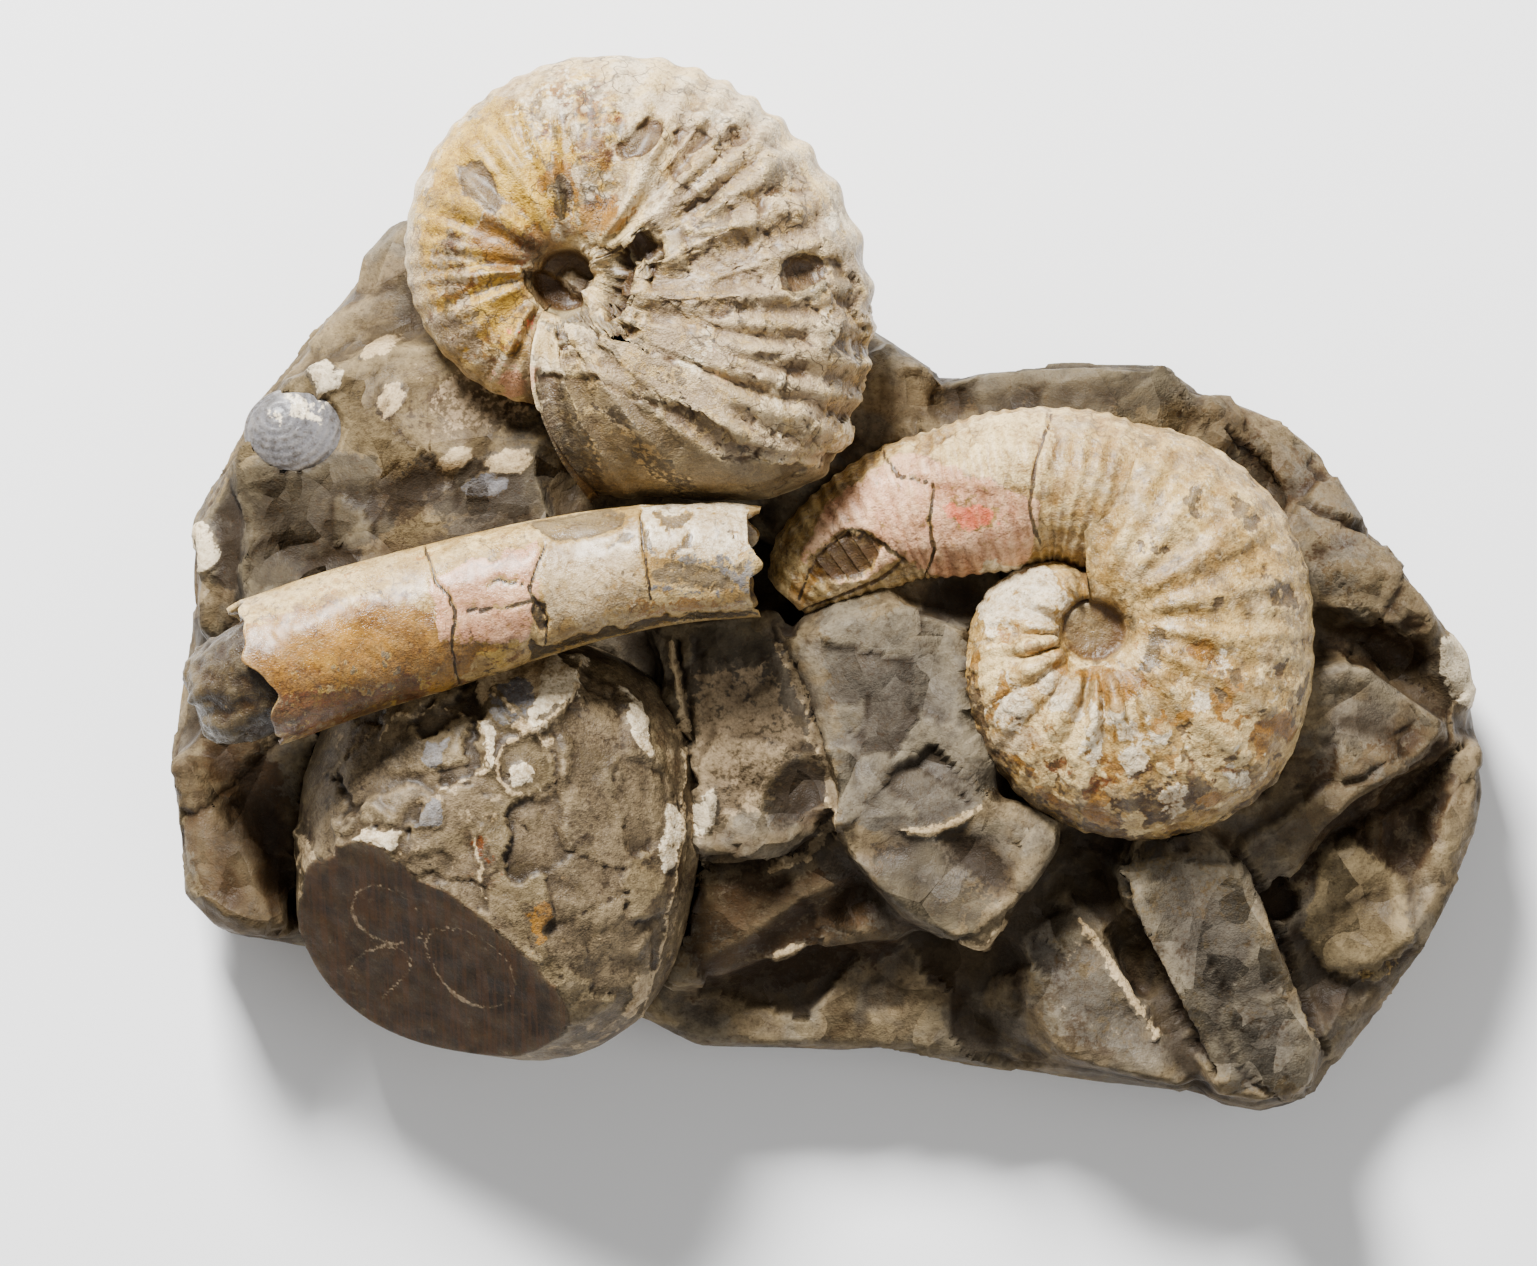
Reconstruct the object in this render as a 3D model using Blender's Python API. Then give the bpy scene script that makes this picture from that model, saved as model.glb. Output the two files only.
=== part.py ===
"""A fossil cluster: two coiled ammonites of the hoploscaphites kind, a straight baculite, a clam and the
mud cast of a larger shell, all held in one broken mudstone concretion that lies on its flat back.

+X is right and +Y is up in the showing face, and +Z points out of it. The origin is the middle of the
box at the height of the resting face. Lengths are written in millimetres and built in metres.
"""

import math

import bmesh
import bpy
import numpy as np
from mathutils import Vector

MM = 0.001

# Driving dimensions, in millimetres.
CLEARANCE = 0.45
SEAM_GAP_TURN = 5.0
RIB_RELIEF = 0.4
REMESH_CELL = 1.1
ROCK_FACES_KEPT = 0.062
FOOT_DEPTH = -3.0

# The rock as rings from the resting face up: height and share of the full outline.
ROCK_RINGS = [(FOOT_DEPTH, 0.80), (0.0, 0.84), (3.5, 0.955), (7.5, 1.0), (10.0, 0.975)]
ROCK_OUTLINE = [
    (-54, -14), (-52.5, -4), (-52, 5.5), (-47, 15.5), (-42, 21), (-38.5, 25), (-34, 30.5),
    (-22, 35), (-6, 32), (4, 21.5), (10, 17.5), (19, 18), (28.5, 18), (38, 12.5), (45.5, 5),
    (53, -4.5), (54.5, -15), (53, -22.5), (49.5, -31), (43, -39), (40.5, -42.5), (35.5, -43.5),
    (29.5, -41.5), (19, -40.5), (6.5, -38.5), (-10, -38), (-16, -35), (-40, -30), (-49, -28.5),
    (-53, -21.5),
]

# Broken blocks of the rock: height of the top at its middle, slopes along X and Y, edge bevel, outline.
BLOCKS = {
    "core": (14, 0, 0, 2, [
        (-46, -11), (-47, 4), (-40, 16), (-26, 30), (-8, 27), (6, 14), (28, 14), (40, 5), (48, -6),
        (47, -22), (38, -31), (20, -30), (5, -25), (-10, -30), (-30, -26), (-43, -21)]),
    "upper_bed": (19, 0, -0.06, 3, [
        (-35, 28), (-26, 33.5), (-10, 32), (1, 22), (3, 8), (-8, 3), (-22, 3), (-34, 18)]),
    "lower_bed": (17.5, -0.03, 0, 2, [
        (10, 13), (22, 15), (33, 12), (41, 2), (42, -12), (35, -20), (20, -21), (10, -12), (0, 0)]),
    "left_slab": (21.5, 0.05, -0.03, 3.5, [
        (-38, 22.5), (-30, 23), (-20, 17), (-18, 4), (-24, -3), (-40, -6), (-47, -6), (-50.5, -3),
        (-50.5, 5), (-48, 10), (-43.5, 17), (-40.5, 21)]),
    "left_ear": (17, 0.1, 0, 1, [(-38, 24), (-37.5, 27), (-34.5, 30), (-29, 29), (-28, 20), (-34, 21)]),
    "left_recess": (16.5, 0.06, 0.12, 1, [
        (-51, -13.5), (-49, -6), (-36, -7), (-34, -17), (-40, -20), (-42.5, -24), (-45.5, -24.5)]),
    "left_dark": (18, 0.15, 0.1, 1.5, [
        (-53, -14), (-51, -13), (-49, -18), (-45, -24), (-43.5, -28.5), (-49, -28), (-52, -25)]),
    "neck": (18.5, 0, -0.1, 1.5, [
        (3.5, 18.5), (5.5, 20), (7, 17.5), (10.5, 16.5), (10.5, 12), (4.5, 9), (-2, 3), (-6, 4), (-2, 11)]),
    "top_slab": (17.5, 0, -0.04, 0.8, [
        (10.5, 16.5), (13, 17.5), (21, 18), (28.5, 18), (29, 16), (30.5, 15), (27, 9), (12, 9)]),
    "rim_knob": (18.5, 0, 0, 1.2, [(30.5, 15.5), (33, 15.5), (34, 12.5), (33, 7), (30, 8)]),
    "rim_upper": (17, -0.1, -0.05, 1.2, [(34, 15), (37.5, 13.5), (40.5, 11), (42, 8.5), (38, 7), (34, 9)]),
    "rim_right_a": (18, -0.15, 0, 1.5, [
        (37.5, 8), (42, 8), (43.5, 6.5), (44.5, 4), (41, 1.5), (36.5, 3)]),
    "rim_right_b": (18, -0.25, 0.05, 1.5, [
        (42, 3.5), (45.5, 4), (49, -0.5), (51, -3), (50.5, -5.5), (45.5, -4), (41, -2), (39.5, 1)]),
    "shell_rim": (14, -0.35, 0, 1.2, [(51, -3), (53, -5.5), (53.5, -8.5), (53, -10.5), (49, -8.5), (49, -4.5)]),
    "dark_facet": (18.5, -0.12, 0.28, 0.6, [
        (39.5, -7), (43.5, -6), (46.5, -8), (51.5, -11.5), (49, -14.5), (43.5, -13), (38.5, -11.5)]),
    "brown_facet": (18, -0.1, 0.35, 0.6, [
        (37, -12), (43.5, -12.5), (48.5, -15), (42.5, -17.5), (37.5, -24), (34, -23.5), (32, -19)]),
    "flake_shelf": (12.5, -0.12, 0.1, 0.8, [
        (41.5, -20.5), (45.5, -21), (48, -24.5), (47.5, -30), (44, -32), (39, -30), (38.5, -25.5)]),
    "outer_rim": (14, -0.2, 0.1, 1.2, [
        (51, -13.5), (54, -13), (54.5, -17), (53.5, -22), (49.5, -30), (47.5, -29.5), (48, -23.5), (51, -20)]),
    "toe": (10.5, -0.1, 0, 1, [(38.5, -29), (44, -32), (44.5, -34.5), (42.5, -37.5), (40.5, -39.5)]),
    "long_slab": (19, -0.05, 0.14, 0.7, [
        (23.5, -23.5), (25, -21), (30, -20), (33, -21), (35.5, -25), (37.5, -30.5), (40.5, -37),
        (39.5, -41.5), (35.5, -42.5), (32, -41.5), (27.5, -31.5)]),
    "kite_slab": (15.5, 0.04, 0.12, 0.6, [
        (15.5, -29), (20, -26), (23, -28.5), (27.5, -37), (29.5, -41), (19.5, -39), (16.5, -34)]),
    "crust": (12.5, 0.2, 0, 0.8, [(12, -34), (16, -29.5), (18, -36.5), (19, -39), (14.5, -36.5)]),
    "middle_low": (21, 0.05, 0.2, 0.6, [
        (6.5, -20), (13, -17), (19.5, -20), (18, -23), (15, -27), (13, -30), (6.5, -27), (1, -21)]),
    "middle_right": (22.5, 0.02, 0.04, 0.7, [
        (-2, -4), (0.5, -2.5), (5, -1), (11, -3), (14, -10), (13, -16.5), (6.5, -20), (1, -20.5), (-0.5, -10.5)]),
    "middle_left": (20.5, 0.08, 0.02, 0.7, [
        (-15, -3), (-12.5, -7.5), (-11.5, -14.5), (-12, -22.5), (-4, -22), (-1, -20.5), (0.5, -17),
        (-0.5, -11), (-4, -2)]),
    "lower_left": (17, 0.03, 0.14, 0.8, [
        (-12, -22.5), (-4, -23), (-1, -21.5), (2.5, -24.5), (-1, -26), (-6, -28), (-9.5, -32), (-13.5, -33)]),
    "lower_ridge": (15, 0, 0.1, 0.7, [(-1, -26), (6.5, -26.5), (6.5, -29), (-1, -29.5), (-9.5, -33), (-7, -29)]),
    "hollow_floor": (10.5, 0, 0.05, 1.5, [
        (-13.5, -33), (-3.5, -30), (6.5, -28.5), (14, -30), (12.5, -35), (9, -38), (-10, -37.5)]),
}
BLOCK_FLARE = 1.1
BLOCK_FOOT = 5.0

# The last turn of each ammonite as (share of the turn grown, outer radius, half thickness).
# The upper one runs clockwise from the broken edge of its body chamber.
UPPER_CENTRE = (-20.6, 24.5, 23.5)
UPPER_START_ANGLE = 235.5
UPPER_DIRECTION = -1
UPPER_TURN = [
    (0.0, 10.2, 4.6), (0.09, 11.3, 4.9), (0.18, 12.7, 5.3), (0.31, 14.9, 6.2), (0.438, 17.6, 7.3),
    (0.57, 20.6, 8.4), (0.703, 24.1, 9.4), (0.78, 25.4, 9.9), (0.825, 25.7, 10.0), (0.853, 23.4, 9.8),
    (0.873, 21.0, 9.6), (0.90, 19.2, 9.2), (0.935, 18.1, 8.6), (1.0, 17.5, 8.2),
]
UPPER_UMBILICUS = 2.4
UPPER_UMBILICUS_FLOOR = 1.6
UPPER_RIBS = 18
UPPER_SEAM_SHEAR = 2.7
UPPER_RIB_SHEAR = 0.8

# The lower one runs anticlockwise, and its last part leaves the coil as a straight shaft.
LOWER_CENTRE = (21.8, -3.7, 20.0)
LOWER_START_ANGLE = 100.0
LOWER_DIRECTION = 1
LOWER_TURN = [
    (0.0, 5.1, 2.6), (0.061, 6.6, 3.1), (0.146, 8.2, 3.7), (0.25, 10.5, 4.6), (0.36, 12.9, 5.5),
    (0.459, 15.5, 6.6), (0.553, 17.8, 7.4), (0.632, 18.9, 7.8), (0.679, 18.4, 7.8), (0.731, 17.8, 7.7),
    (0.80, 18.0, 7.7), (0.90, 17.7, 7.5), (1.0, 17.5, 7.2),
]
LOWER_UMBILICUS = 2.6
LOWER_UMBILICUS_FLOOR = 3.2
LOWER_RIBS = 18
LOWER_SEAM_SHEAR = 0.6
LOWER_RIB_SHEAR = 0.4

# The shaft's middle line from the coil's centre, with its half height in the plane and across it.
SHAFT_LINE = [
    (5.0, 9.4, 0.0, 4.9, 4.6), (1.2, 11.0, 0.2, 6.2, 6.0), (-3.0, 11.9, 0.2, 6.1, 6.0),
    (-7.2, 11.4, 0.0, 6.3, 5.9), (-11.2, 10.5, -0.3, 6.0, 5.6), (-15.3, 9.6, -0.7, 5.5, 5.0),
    (-19.2, 7.5, -1.1, 4.9, 4.4), (-22.6, 5.0, -1.5, 3.9, 3.6), (-24.6, 2.9, -1.9, 2.2, 2.4),
]
SHAFT_SIDES = 16

# The baculite's middle line, with its half height in the plane and across it.
BACULITE_LINE = [
    (-44.9, -7.0, 27.4, 6.0, 5.4), (-38.0, -4.6, 27.2, 5.95, 5.3), (-30.7, -2.5, 27.0, 5.8, 5.1),
    (-24.0, -0.6, 26.9, 5.5, 4.9), (-17.6, 0.9, 26.8, 5.15, 4.7), (-11.5, 1.7, 26.7, 4.8, 4.5),
    (-5.9, 1.9, 26.6, 4.5, 4.3),
]
BACULITE_STUB = [(-45.0, -7.1, 27.2, 4.6, 4.2), (-48.6, -8.9, 26.2, 4.1, 3.8), (-50.0, -9.6, 25.9, 2.9, 2.6)]
BACULITE_SIDES = 18

# The cast: middle, half sizes, and the plane of its sawn corner.
CAST_CENTRE = (-26.3, -21.0, 14.4)
CAST_HALF = (16.3, 17.3, 12.6)
CAST_SQUARENESS = 2.6
CAST_TWIST = -8.0
SAW_POINT = (-33.2, -28.5, 21.5)
SAW_NORMAL = (-0.42, -0.62, 0.66)

CLAM_CENTRE = (-42.6, 12.4, 20.8)
CLAM_HALF = (3.7, 3.0, 0.9)
CLAM_TURN = 12.0


def clear_scene():
    for obj in list(bpy.data.objects):
        bpy.data.objects.remove(obj, do_unlink=True)


def stone(name, colour, roughness):
    made = bpy.data.materials.new(name)
    made.use_nodes = True
    shader = made.node_tree.nodes["Principled BSDF"]
    shader.inputs["Base Color"].default_value = (*colour, 1.0)
    shader.inputs["Roughness"].default_value = roughness
    shader.inputs["Metallic"].default_value = 0.0
    return made


def add_object(name, bm, finish):
    bmesh.ops.recalc_face_normals(bm, faces=bm.faces)
    mesh = bpy.data.meshes.new(name)
    bm.to_mesh(mesh)
    bm.free()
    mesh.materials.append(finish)
    mesh.shade_smooth()
    mesh.set_sharp_from_angle(angle=math.radians(35))
    obj = bpy.data.objects.new(name, mesh)
    bpy.context.scene.collection.objects.link(obj)
    return obj


def add_cutter(name, bm):
    cutter = add_object(name, bm, bpy.data.materials[0])
    cutter.hide_render = True
    cutter.display_type = "WIRE"
    return cutter


def boolean(target, operation, other):
    modifier = target.modifiers.new(f"{operation.lower()} {other.name}", "BOOLEAN")
    modifier.operation = operation
    modifier.object = other


def ring_of(bm, points):
    return [bm.verts.new(Vector(p) * MM) for p in points]


def join_rings(bm, first, second):
    """Faces between two rings of the same number of points."""
    for i, corner in enumerate(first):
        after = (i + 1) % len(first)
        bm.faces.new((corner, first[after], second[after], second[i]))


def cap(bm, ring):
    bm.faces.new(ring)


def close_to_point(bm, ring, point):
    tip = bm.verts.new(Vector(point) * MM)
    for i, corner in enumerate(ring):
        bm.faces.new((corner, ring[(i + 1) % len(ring)], tip))


def middle_of(outline):
    xs, ys = zip(*outline)
    return sum(xs) / len(xs), sum(ys) / len(ys)


def scaled(outline, share):
    cx, cy = middle_of(outline)
    return [(cx + (x - cx) * share, cy + (y - cy) * share) for x, y in outline]


def add_foundation(bm):
    """The body of the rock: rings of its outline, closed by a face at each end."""
    rings = []
    for height, share in ROCK_RINGS:
        rings.append(ring_of(bm, [(x, y, height) for x, y in scaled(ROCK_OUTLINE, share)]))
    for below, above in zip(rings, rings[1:]):
        join_rings(bm, below, above)
    cap(bm, rings[0])
    cap(bm, rings[-1])


def add_block(bm, top, slope_x, slope_y, bevel, outline):
    """A prism that widens downwards, with a sloping top whose edges are bevelled."""
    cx, cy = middle_of(outline)
    upper = ring_of(bm, [(x, y, top + slope_x * (x - cx) + slope_y * (y - cy)) for x, y in outline])
    lower = ring_of(bm, [(x, y, BLOCK_FOOT) for x, y in scaled(outline, BLOCK_FLARE)])
    join_rings(bm, lower, upper)
    cap(bm, lower)
    cap(bm, upper)
    pairs = list(zip(upper, upper[1:] + upper[:1]))
    rim = [bm.edges.get(pair) for pair in pairs]
    bmesh.ops.bevel(bm, geom=rim, offset=bevel * MM, segments=2, affect="EDGES", clamp_overlap=True)


def smooth_through(stops, at):
    """A smooth curve through (place, value) stops, read at one place."""
    places = np.array([s[0] for s in stops])
    values = np.array([s[1] for s in stops])
    slopes = np.gradient(values, places)
    i = int(np.clip(np.searchsorted(places, at) - 1, 0, len(places) - 2))
    span = places[i + 1] - places[i]
    t = (at - places[i]) / span
    return float(
        values[i] * (2 * t**3 - 3 * t**2 + 1)
        + values[i + 1] * (3 * t**2 - 2 * t**3)
        + span * (slopes[i] * (t**3 - 2 * t**2 + t) + slopes[i + 1] * (t**3 - t**2))
    )


def flank_height(t):
    """Share of the half thickness at t, from the umbilical shoulder, 0, to the outer rim, 1."""
    return math.sqrt(max(0.0, 1 - t**2.9)) * (1 - 0.3 * math.exp(-t / 0.09))


def coil(centre, start_angle, direction, turn, umbilicus, floor, ribs, shears, grid, margin=0.0):
    """One turn of a coiled shell as rings round its middle, the same on both faces.

    The first and last ring columns share one line in plan, so the end of the last turn is a wall there.
    """
    columns, inner_rows, outer_rows, under_rows = grid
    seam_shear, rib_shear = shears
    rims = [(share, radius) for share, radius, _ in turn]
    halves = [(share, half) for share, _, half in turn]
    bm = bmesh.new()

    def place(share, radius, height):
        lean = rib_shear + (seam_shear - rib_shear) * abs(2 * share - 1) ** 6
        turned = 360 * share + SEAM_GAP_TURN * margin * share**4
        angle = math.radians(start_angle + direction * (turned - lean * (radius - umbilicus)))
        return (
            centre[0] + radius * math.cos(angle),
            centre[1] + radius * math.sin(angle),
            centre[2] + height,
        )

    def flank_point(share, t, face):
        rim = smooth_through(rims, share) + margin
        radius = umbilicus + (rim - umbilicus) * t
        wave = math.cos(2 * math.pi * ribs * share)
        raised = 0.0 if margin else RIB_RELIEF * wave * math.sin(math.pi * t)
        height = smooth_through(halves, share) * flank_height(t) + raised + margin * (1 - t**8)
        return place(share, radius, face * max(height, 0.0))

    shares = [i / columns for i in range(columns + 1)]
    outer = [math.sin(0.5 * math.pi * (k + 1) / outer_rows) for k in range(outer_rows)]
    under = [math.sin(0.5 * math.pi * k / under_rows) for k in range(under_rows - 1, 0, -1)]
    rings = []
    for k in range(1, inner_rows + 1):
        radius = umbilicus * k / (inner_rows + 1)
        rings.append(ring_of(bm, [place(s, radius, floor + margin) for s in shares]))
    rings.append(ring_of(bm, [flank_point(s, 0.0, 1) for s in shares]))
    rings += [ring_of(bm, [flank_point(s, t, 1) for s in shares]) for t in outer]
    rings += [ring_of(bm, [flank_point(s, t, -1) for s in shares]) for t in under]
    for first, second in zip(rings, rings[1:]):
        join_rings(bm, first, second)
    close_to_point(bm, rings[0], (centre[0], centre[1], centre[2] + floor + margin))
    close_to_point(bm, rings[-1], (centre[0], centre[1], centre[2] - floor - margin))
    return bm


def tube(line, sides, margin=0.0, lead=(), finer=1):
    """A tube of oval rings about a line of (x, y, z, half height in the plane, half height across it)."""
    stations = list(lead)
    for a, b in zip(line, line[1:]):
        stations += [tuple(np.array(a) + (np.array(b) - np.array(a)) * k / finer) for k in range(finer)]
    stations.append(line[-1])
    bm = bmesh.new()
    rings = []
    for i, (x, y, z, in_plane, across) in enumerate(stations):
        before = Vector(stations[max(0, i - 1)][:3])
        after = Vector(stations[min(len(stations) - 1, i + 1)][:3])
        along = (after - before).normalized()
        side = along.cross(Vector((0, 0, 1))).normalized()
        up = side.cross(along).normalized()
        centre = Vector((x, y, z))
        ring = []
        for k in range(sides):
            angle = 2 * math.pi * k / sides
            ring.append(
                centre
                + side * math.cos(angle) * (in_plane + margin)
                + up * math.sin(angle) * (across + margin)
            )
        rings.append(ring_of(bm, ring))
    for first, second in zip(rings, rings[1:]):
        join_rings(bm, first, second)
    cap(bm, rings[0])
    cap(bm, rings[-1])
    return bm


def oval_body(centre, half, squareness, turn, columns, rows, margin=0.0):
    """A closed rounded body: a sphere whose power sets how square it is, turned about Z."""
    bm = bmesh.new()
    turned = math.radians(turn)

    def signed_power(value):
        return math.copysign(abs(value) ** (2 / squareness), value)

    def point(column, row):
        around, down = 2 * math.pi * column / columns, math.pi * row / rows
        x = signed_power(math.cos(around)) * signed_power(math.sin(down)) * (half[0] + margin)
        y = signed_power(math.sin(around)) * signed_power(math.sin(down)) * (half[1] + margin)
        z = signed_power(math.cos(down)) * (half[2] + margin)
        return (
            centre[0] + x * math.cos(turned) - y * math.sin(turned),
            centre[1] + x * math.sin(turned) + y * math.cos(turned),
            centre[2] + z,
        )

    rings = [ring_of(bm, [point(c, r) for c in range(columns)]) for r in range(1, rows)]
    for first, second in zip(rings, rings[1:]):
        join_rings(bm, first, second)
    close_to_point(bm, rings[0], (centre[0], centre[1], centre[2] + half[2] + margin))
    close_to_point(bm, rings[-1], (centre[0], centre[1], centre[2] - half[2] - margin))
    return bm


def saw_off(bm, point, normal):
    """Removes what lies beyond a plane and closes the cut with one flat face."""
    geometry = bm.verts[:] + bm.edges[:] + bm.faces[:]
    cut = bmesh.ops.bisect_plane(
        bm, geom=geometry, plane_co=Vector(point) * MM, plane_no=normal, clear_outer=True
    )
    edges = [item for item in cut["geom_cut"] if isinstance(item, bmesh.types.BMEdge)]
    bmesh.ops.holes_fill(bm, edges=edges)


def upper_coil(grid, margin=0.0):
    return coil(
        UPPER_CENTRE, UPPER_START_ANGLE, UPPER_DIRECTION, UPPER_TURN, UPPER_UMBILICUS,
        UPPER_UMBILICUS_FLOOR, UPPER_RIBS, (UPPER_SEAM_SHEAR, UPPER_RIB_SHEAR), grid, margin,
    )


def lower_coil(grid, margin=0.0):
    return coil(
        LOWER_CENTRE, LOWER_START_ANGLE, LOWER_DIRECTION, LOWER_TURN, LOWER_UMBILICUS,
        LOWER_UMBILICUS_FLOOR, LOWER_RIBS, (LOWER_SEAM_SHEAR, LOWER_RIB_SHEAR), grid, margin,
    )


def shaft(margin=0.0):
    line = [
        (LOWER_CENTRE[0] + x, LOWER_CENTRE[1] + y, LOWER_CENTRE[2] + z, a, b) for x, y, z, a, b in SHAFT_LINE
    ]
    return tube(line, SHAFT_SIDES, margin)


def baculite(margin=0.0):
    return tube(BACULITE_LINE, BACULITE_SIDES, margin, lead=BACULITE_STUB[::-1])


def cast(margin=0.0):
    bm = oval_body(CAST_CENTRE, CAST_HALF, CAST_SQUARENESS, CAST_TWIST, 28, 14, margin)
    if not margin:
        saw_off(bm, SAW_POINT, SAW_NORMAL)
    return bm


def build_rock(finish):
    """All blocks run together into one broken body, thinned to flat facets, then cut flat to rest on."""
    bm = bmesh.new()
    add_foundation(bm)
    for top, slope_x, slope_y, bevel, outline in BLOCKS.values():
        add_block(bm, top, slope_x, slope_y, bevel, outline)
    rock = add_object("matrix", bm, finish)
    joined = rock.modifiers.new("run together", "REMESH")
    joined.mode = "VOXEL"
    joined.voxel_size = REMESH_CELL * MM
    facets = rock.modifiers.new("break into facets", "DECIMATE")
    facets.ratio = ROCK_FACES_KEPT
    below = bmesh.new()
    bmesh.ops.create_cube(below, size=1)
    bmesh.ops.scale(below, vec=(0.2, 0.2, 0.02), verts=below.verts)
    bmesh.ops.translate(below, vec=(0, 0, -0.01), verts=below.verts)
    boolean(rock, "DIFFERENCE", add_cutter("resting_plane", below))
    return rock


def build():
    clear_scene()
    grey_stone = stone("mudstone", (0.155, 0.128, 0.092), 0.85)
    cast_stone = stone("cast_mudstone", (0.17, 0.13, 0.085), 0.7)
    cream_shell = stone("cream_shell", (0.6, 0.52, 0.4), 0.45)
    pearl_shell = stone("pearl_shell", (0.5, 0.41, 0.29), 0.4)
    tan_shell = stone("tan_shell", (0.55, 0.42, 0.26), 0.4)
    clam_shell = stone("clam_shell", (0.36, 0.35, 0.36), 0.4)

    rock = build_rock(grey_stone)
    gap = RIB_RELIEF + CLEARANCE
    pocket_grid = (36, 1, 7, 6)
    boolean(rock, "DIFFERENCE", add_cutter("upper_pocket", upper_coil(pocket_grid, gap)))
    boolean(rock, "DIFFERENCE", add_cutter("lower_pocket", lower_coil(pocket_grid, gap)))
    boolean(rock, "DIFFERENCE", add_cutter("shaft_pocket", shaft(CLEARANCE)))
    boolean(rock, "DIFFERENCE", add_cutter("baculite_pocket", baculite(CLEARANCE)))
    boolean(rock, "DIFFERENCE", add_cutter("cast_pocket", cast(CLEARANCE)))
    clam_gap = oval_body(CLAM_CENTRE, CLAM_HALF, 2, CLAM_TURN, 18, 6, CLEARANCE)
    boolean(rock, "DIFFERENCE", add_cutter("clam_pocket", clam_gap))

    add_object("ammonite_upper", upper_coil((72, 1, 8, 5)), cream_shell)
    lower = add_object("ammonite_lower", lower_coil((72, 1, 8, 5)), pearl_shell)
    boolean(lower, "UNION", add_cutter("lower_shaft", shaft()))
    add_object("baculite", baculite(), tan_shell)
    mould = add_object("cast", cast(), cast_stone)
    boolean(mould, "DIFFERENCE", bpy.data.objects["baculite_pocket"])
    add_object("clam", oval_body(CLAM_CENTRE, CLAM_HALF, 2, CLAM_TURN, 18, 6), clam_shell)


build()
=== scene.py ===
import math

import bmesh
import bpy
import numpy as np
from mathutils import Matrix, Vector, noise
from mathutils.bvhtree import BVHTree


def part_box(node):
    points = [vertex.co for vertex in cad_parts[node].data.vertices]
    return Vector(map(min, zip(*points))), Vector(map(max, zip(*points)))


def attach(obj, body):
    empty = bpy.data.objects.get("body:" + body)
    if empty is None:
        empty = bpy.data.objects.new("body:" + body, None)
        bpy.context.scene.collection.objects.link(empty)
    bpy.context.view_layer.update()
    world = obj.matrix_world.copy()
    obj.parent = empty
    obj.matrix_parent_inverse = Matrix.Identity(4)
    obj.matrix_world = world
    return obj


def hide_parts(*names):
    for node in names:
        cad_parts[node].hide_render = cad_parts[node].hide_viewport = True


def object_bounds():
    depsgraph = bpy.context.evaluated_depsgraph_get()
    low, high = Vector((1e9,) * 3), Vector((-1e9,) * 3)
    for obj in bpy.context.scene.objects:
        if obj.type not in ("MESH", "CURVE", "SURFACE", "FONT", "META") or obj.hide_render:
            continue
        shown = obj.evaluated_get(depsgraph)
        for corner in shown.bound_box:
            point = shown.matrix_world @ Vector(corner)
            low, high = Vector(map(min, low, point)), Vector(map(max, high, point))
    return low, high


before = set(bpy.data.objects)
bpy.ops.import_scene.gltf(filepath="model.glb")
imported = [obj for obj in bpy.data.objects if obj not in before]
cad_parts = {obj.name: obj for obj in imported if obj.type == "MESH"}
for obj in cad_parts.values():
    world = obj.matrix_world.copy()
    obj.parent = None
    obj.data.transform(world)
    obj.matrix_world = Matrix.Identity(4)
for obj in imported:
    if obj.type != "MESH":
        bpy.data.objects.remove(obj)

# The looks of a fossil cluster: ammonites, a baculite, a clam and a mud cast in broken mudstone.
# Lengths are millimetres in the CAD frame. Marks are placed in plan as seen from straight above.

MM = 0.001
CAD_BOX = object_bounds()

# The camera looks straight down on the piece as it lies.
PICTURE_WIDTH = 122.96
CAMERA_MIDDLE = (-4.4, -3.84)
CAMERA_HEIGHT = 600.0
FRONT_LEVEL = 26.0

# Named colours, each as a dark and a light tone.
TONES = {
    "cream": ((154, 132, 96), (216, 197, 158)),
    "white": ((168, 152, 126), (226, 216, 196)),
    "yellow": ((124, 98, 34), (190, 162, 88)),
    "orange": ((74, 50, 20), (136, 103, 50)),
    "rust": ((44, 25, 10), (94, 56, 22)),
    "dark": ((16, 13, 10), (44, 36, 27)),
    "mud": ((62, 54, 43), (112, 100, 82)),
    "grey": ((56, 52, 47), (96, 91, 83)),
    "olive": ((72, 63, 47), (116, 104, 84)),
    "brown": ((29, 22, 15), (62, 48, 34)),
    "ash": ((100, 88, 72), (166, 150, 128)),
    "pink": ((158, 120, 98), (210, 176, 152)),
    "red": ((164, 84, 66), (212, 138, 116)),
    "pearl": ((132, 114, 88), (192, 176, 150)),
    "blue": ((64, 62, 61), (108, 107, 109)),
    "tan": ((126, 104, 68), (176, 154, 112)),
    "slate": ((32, 29, 25), (62, 57, 50)),
}
# The stage light greys colours a little, so each is made this much stronger.
RICHNESS = 1.5


# Places and shapes in plan.

def oval(x, y, half_width, half_height, turn=0.0, corners=18):
    """An oval outline, turned anticlockwise by degrees."""
    a = np.linspace(0, 2 * math.pi, corners, endpoint=False)
    c, s = math.cos(math.radians(turn)), math.sin(math.radians(turn))
    u, v = half_width * np.cos(a), half_height * np.sin(a)
    return np.stack([x + u * c - v * s, y + u * s + v * c], axis=1)


def seen(points):
    """Where points appear in plan when the camera's view is laid on the front level."""
    reach = (FRONT_LEVEL + CAMERA_HEIGHT - points[:, 2]) / CAMERA_HEIGHT
    middle = np.array(CAMERA_MIDDLE)
    return middle + (points[:, :2] - middle) / reach[:, None]


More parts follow.
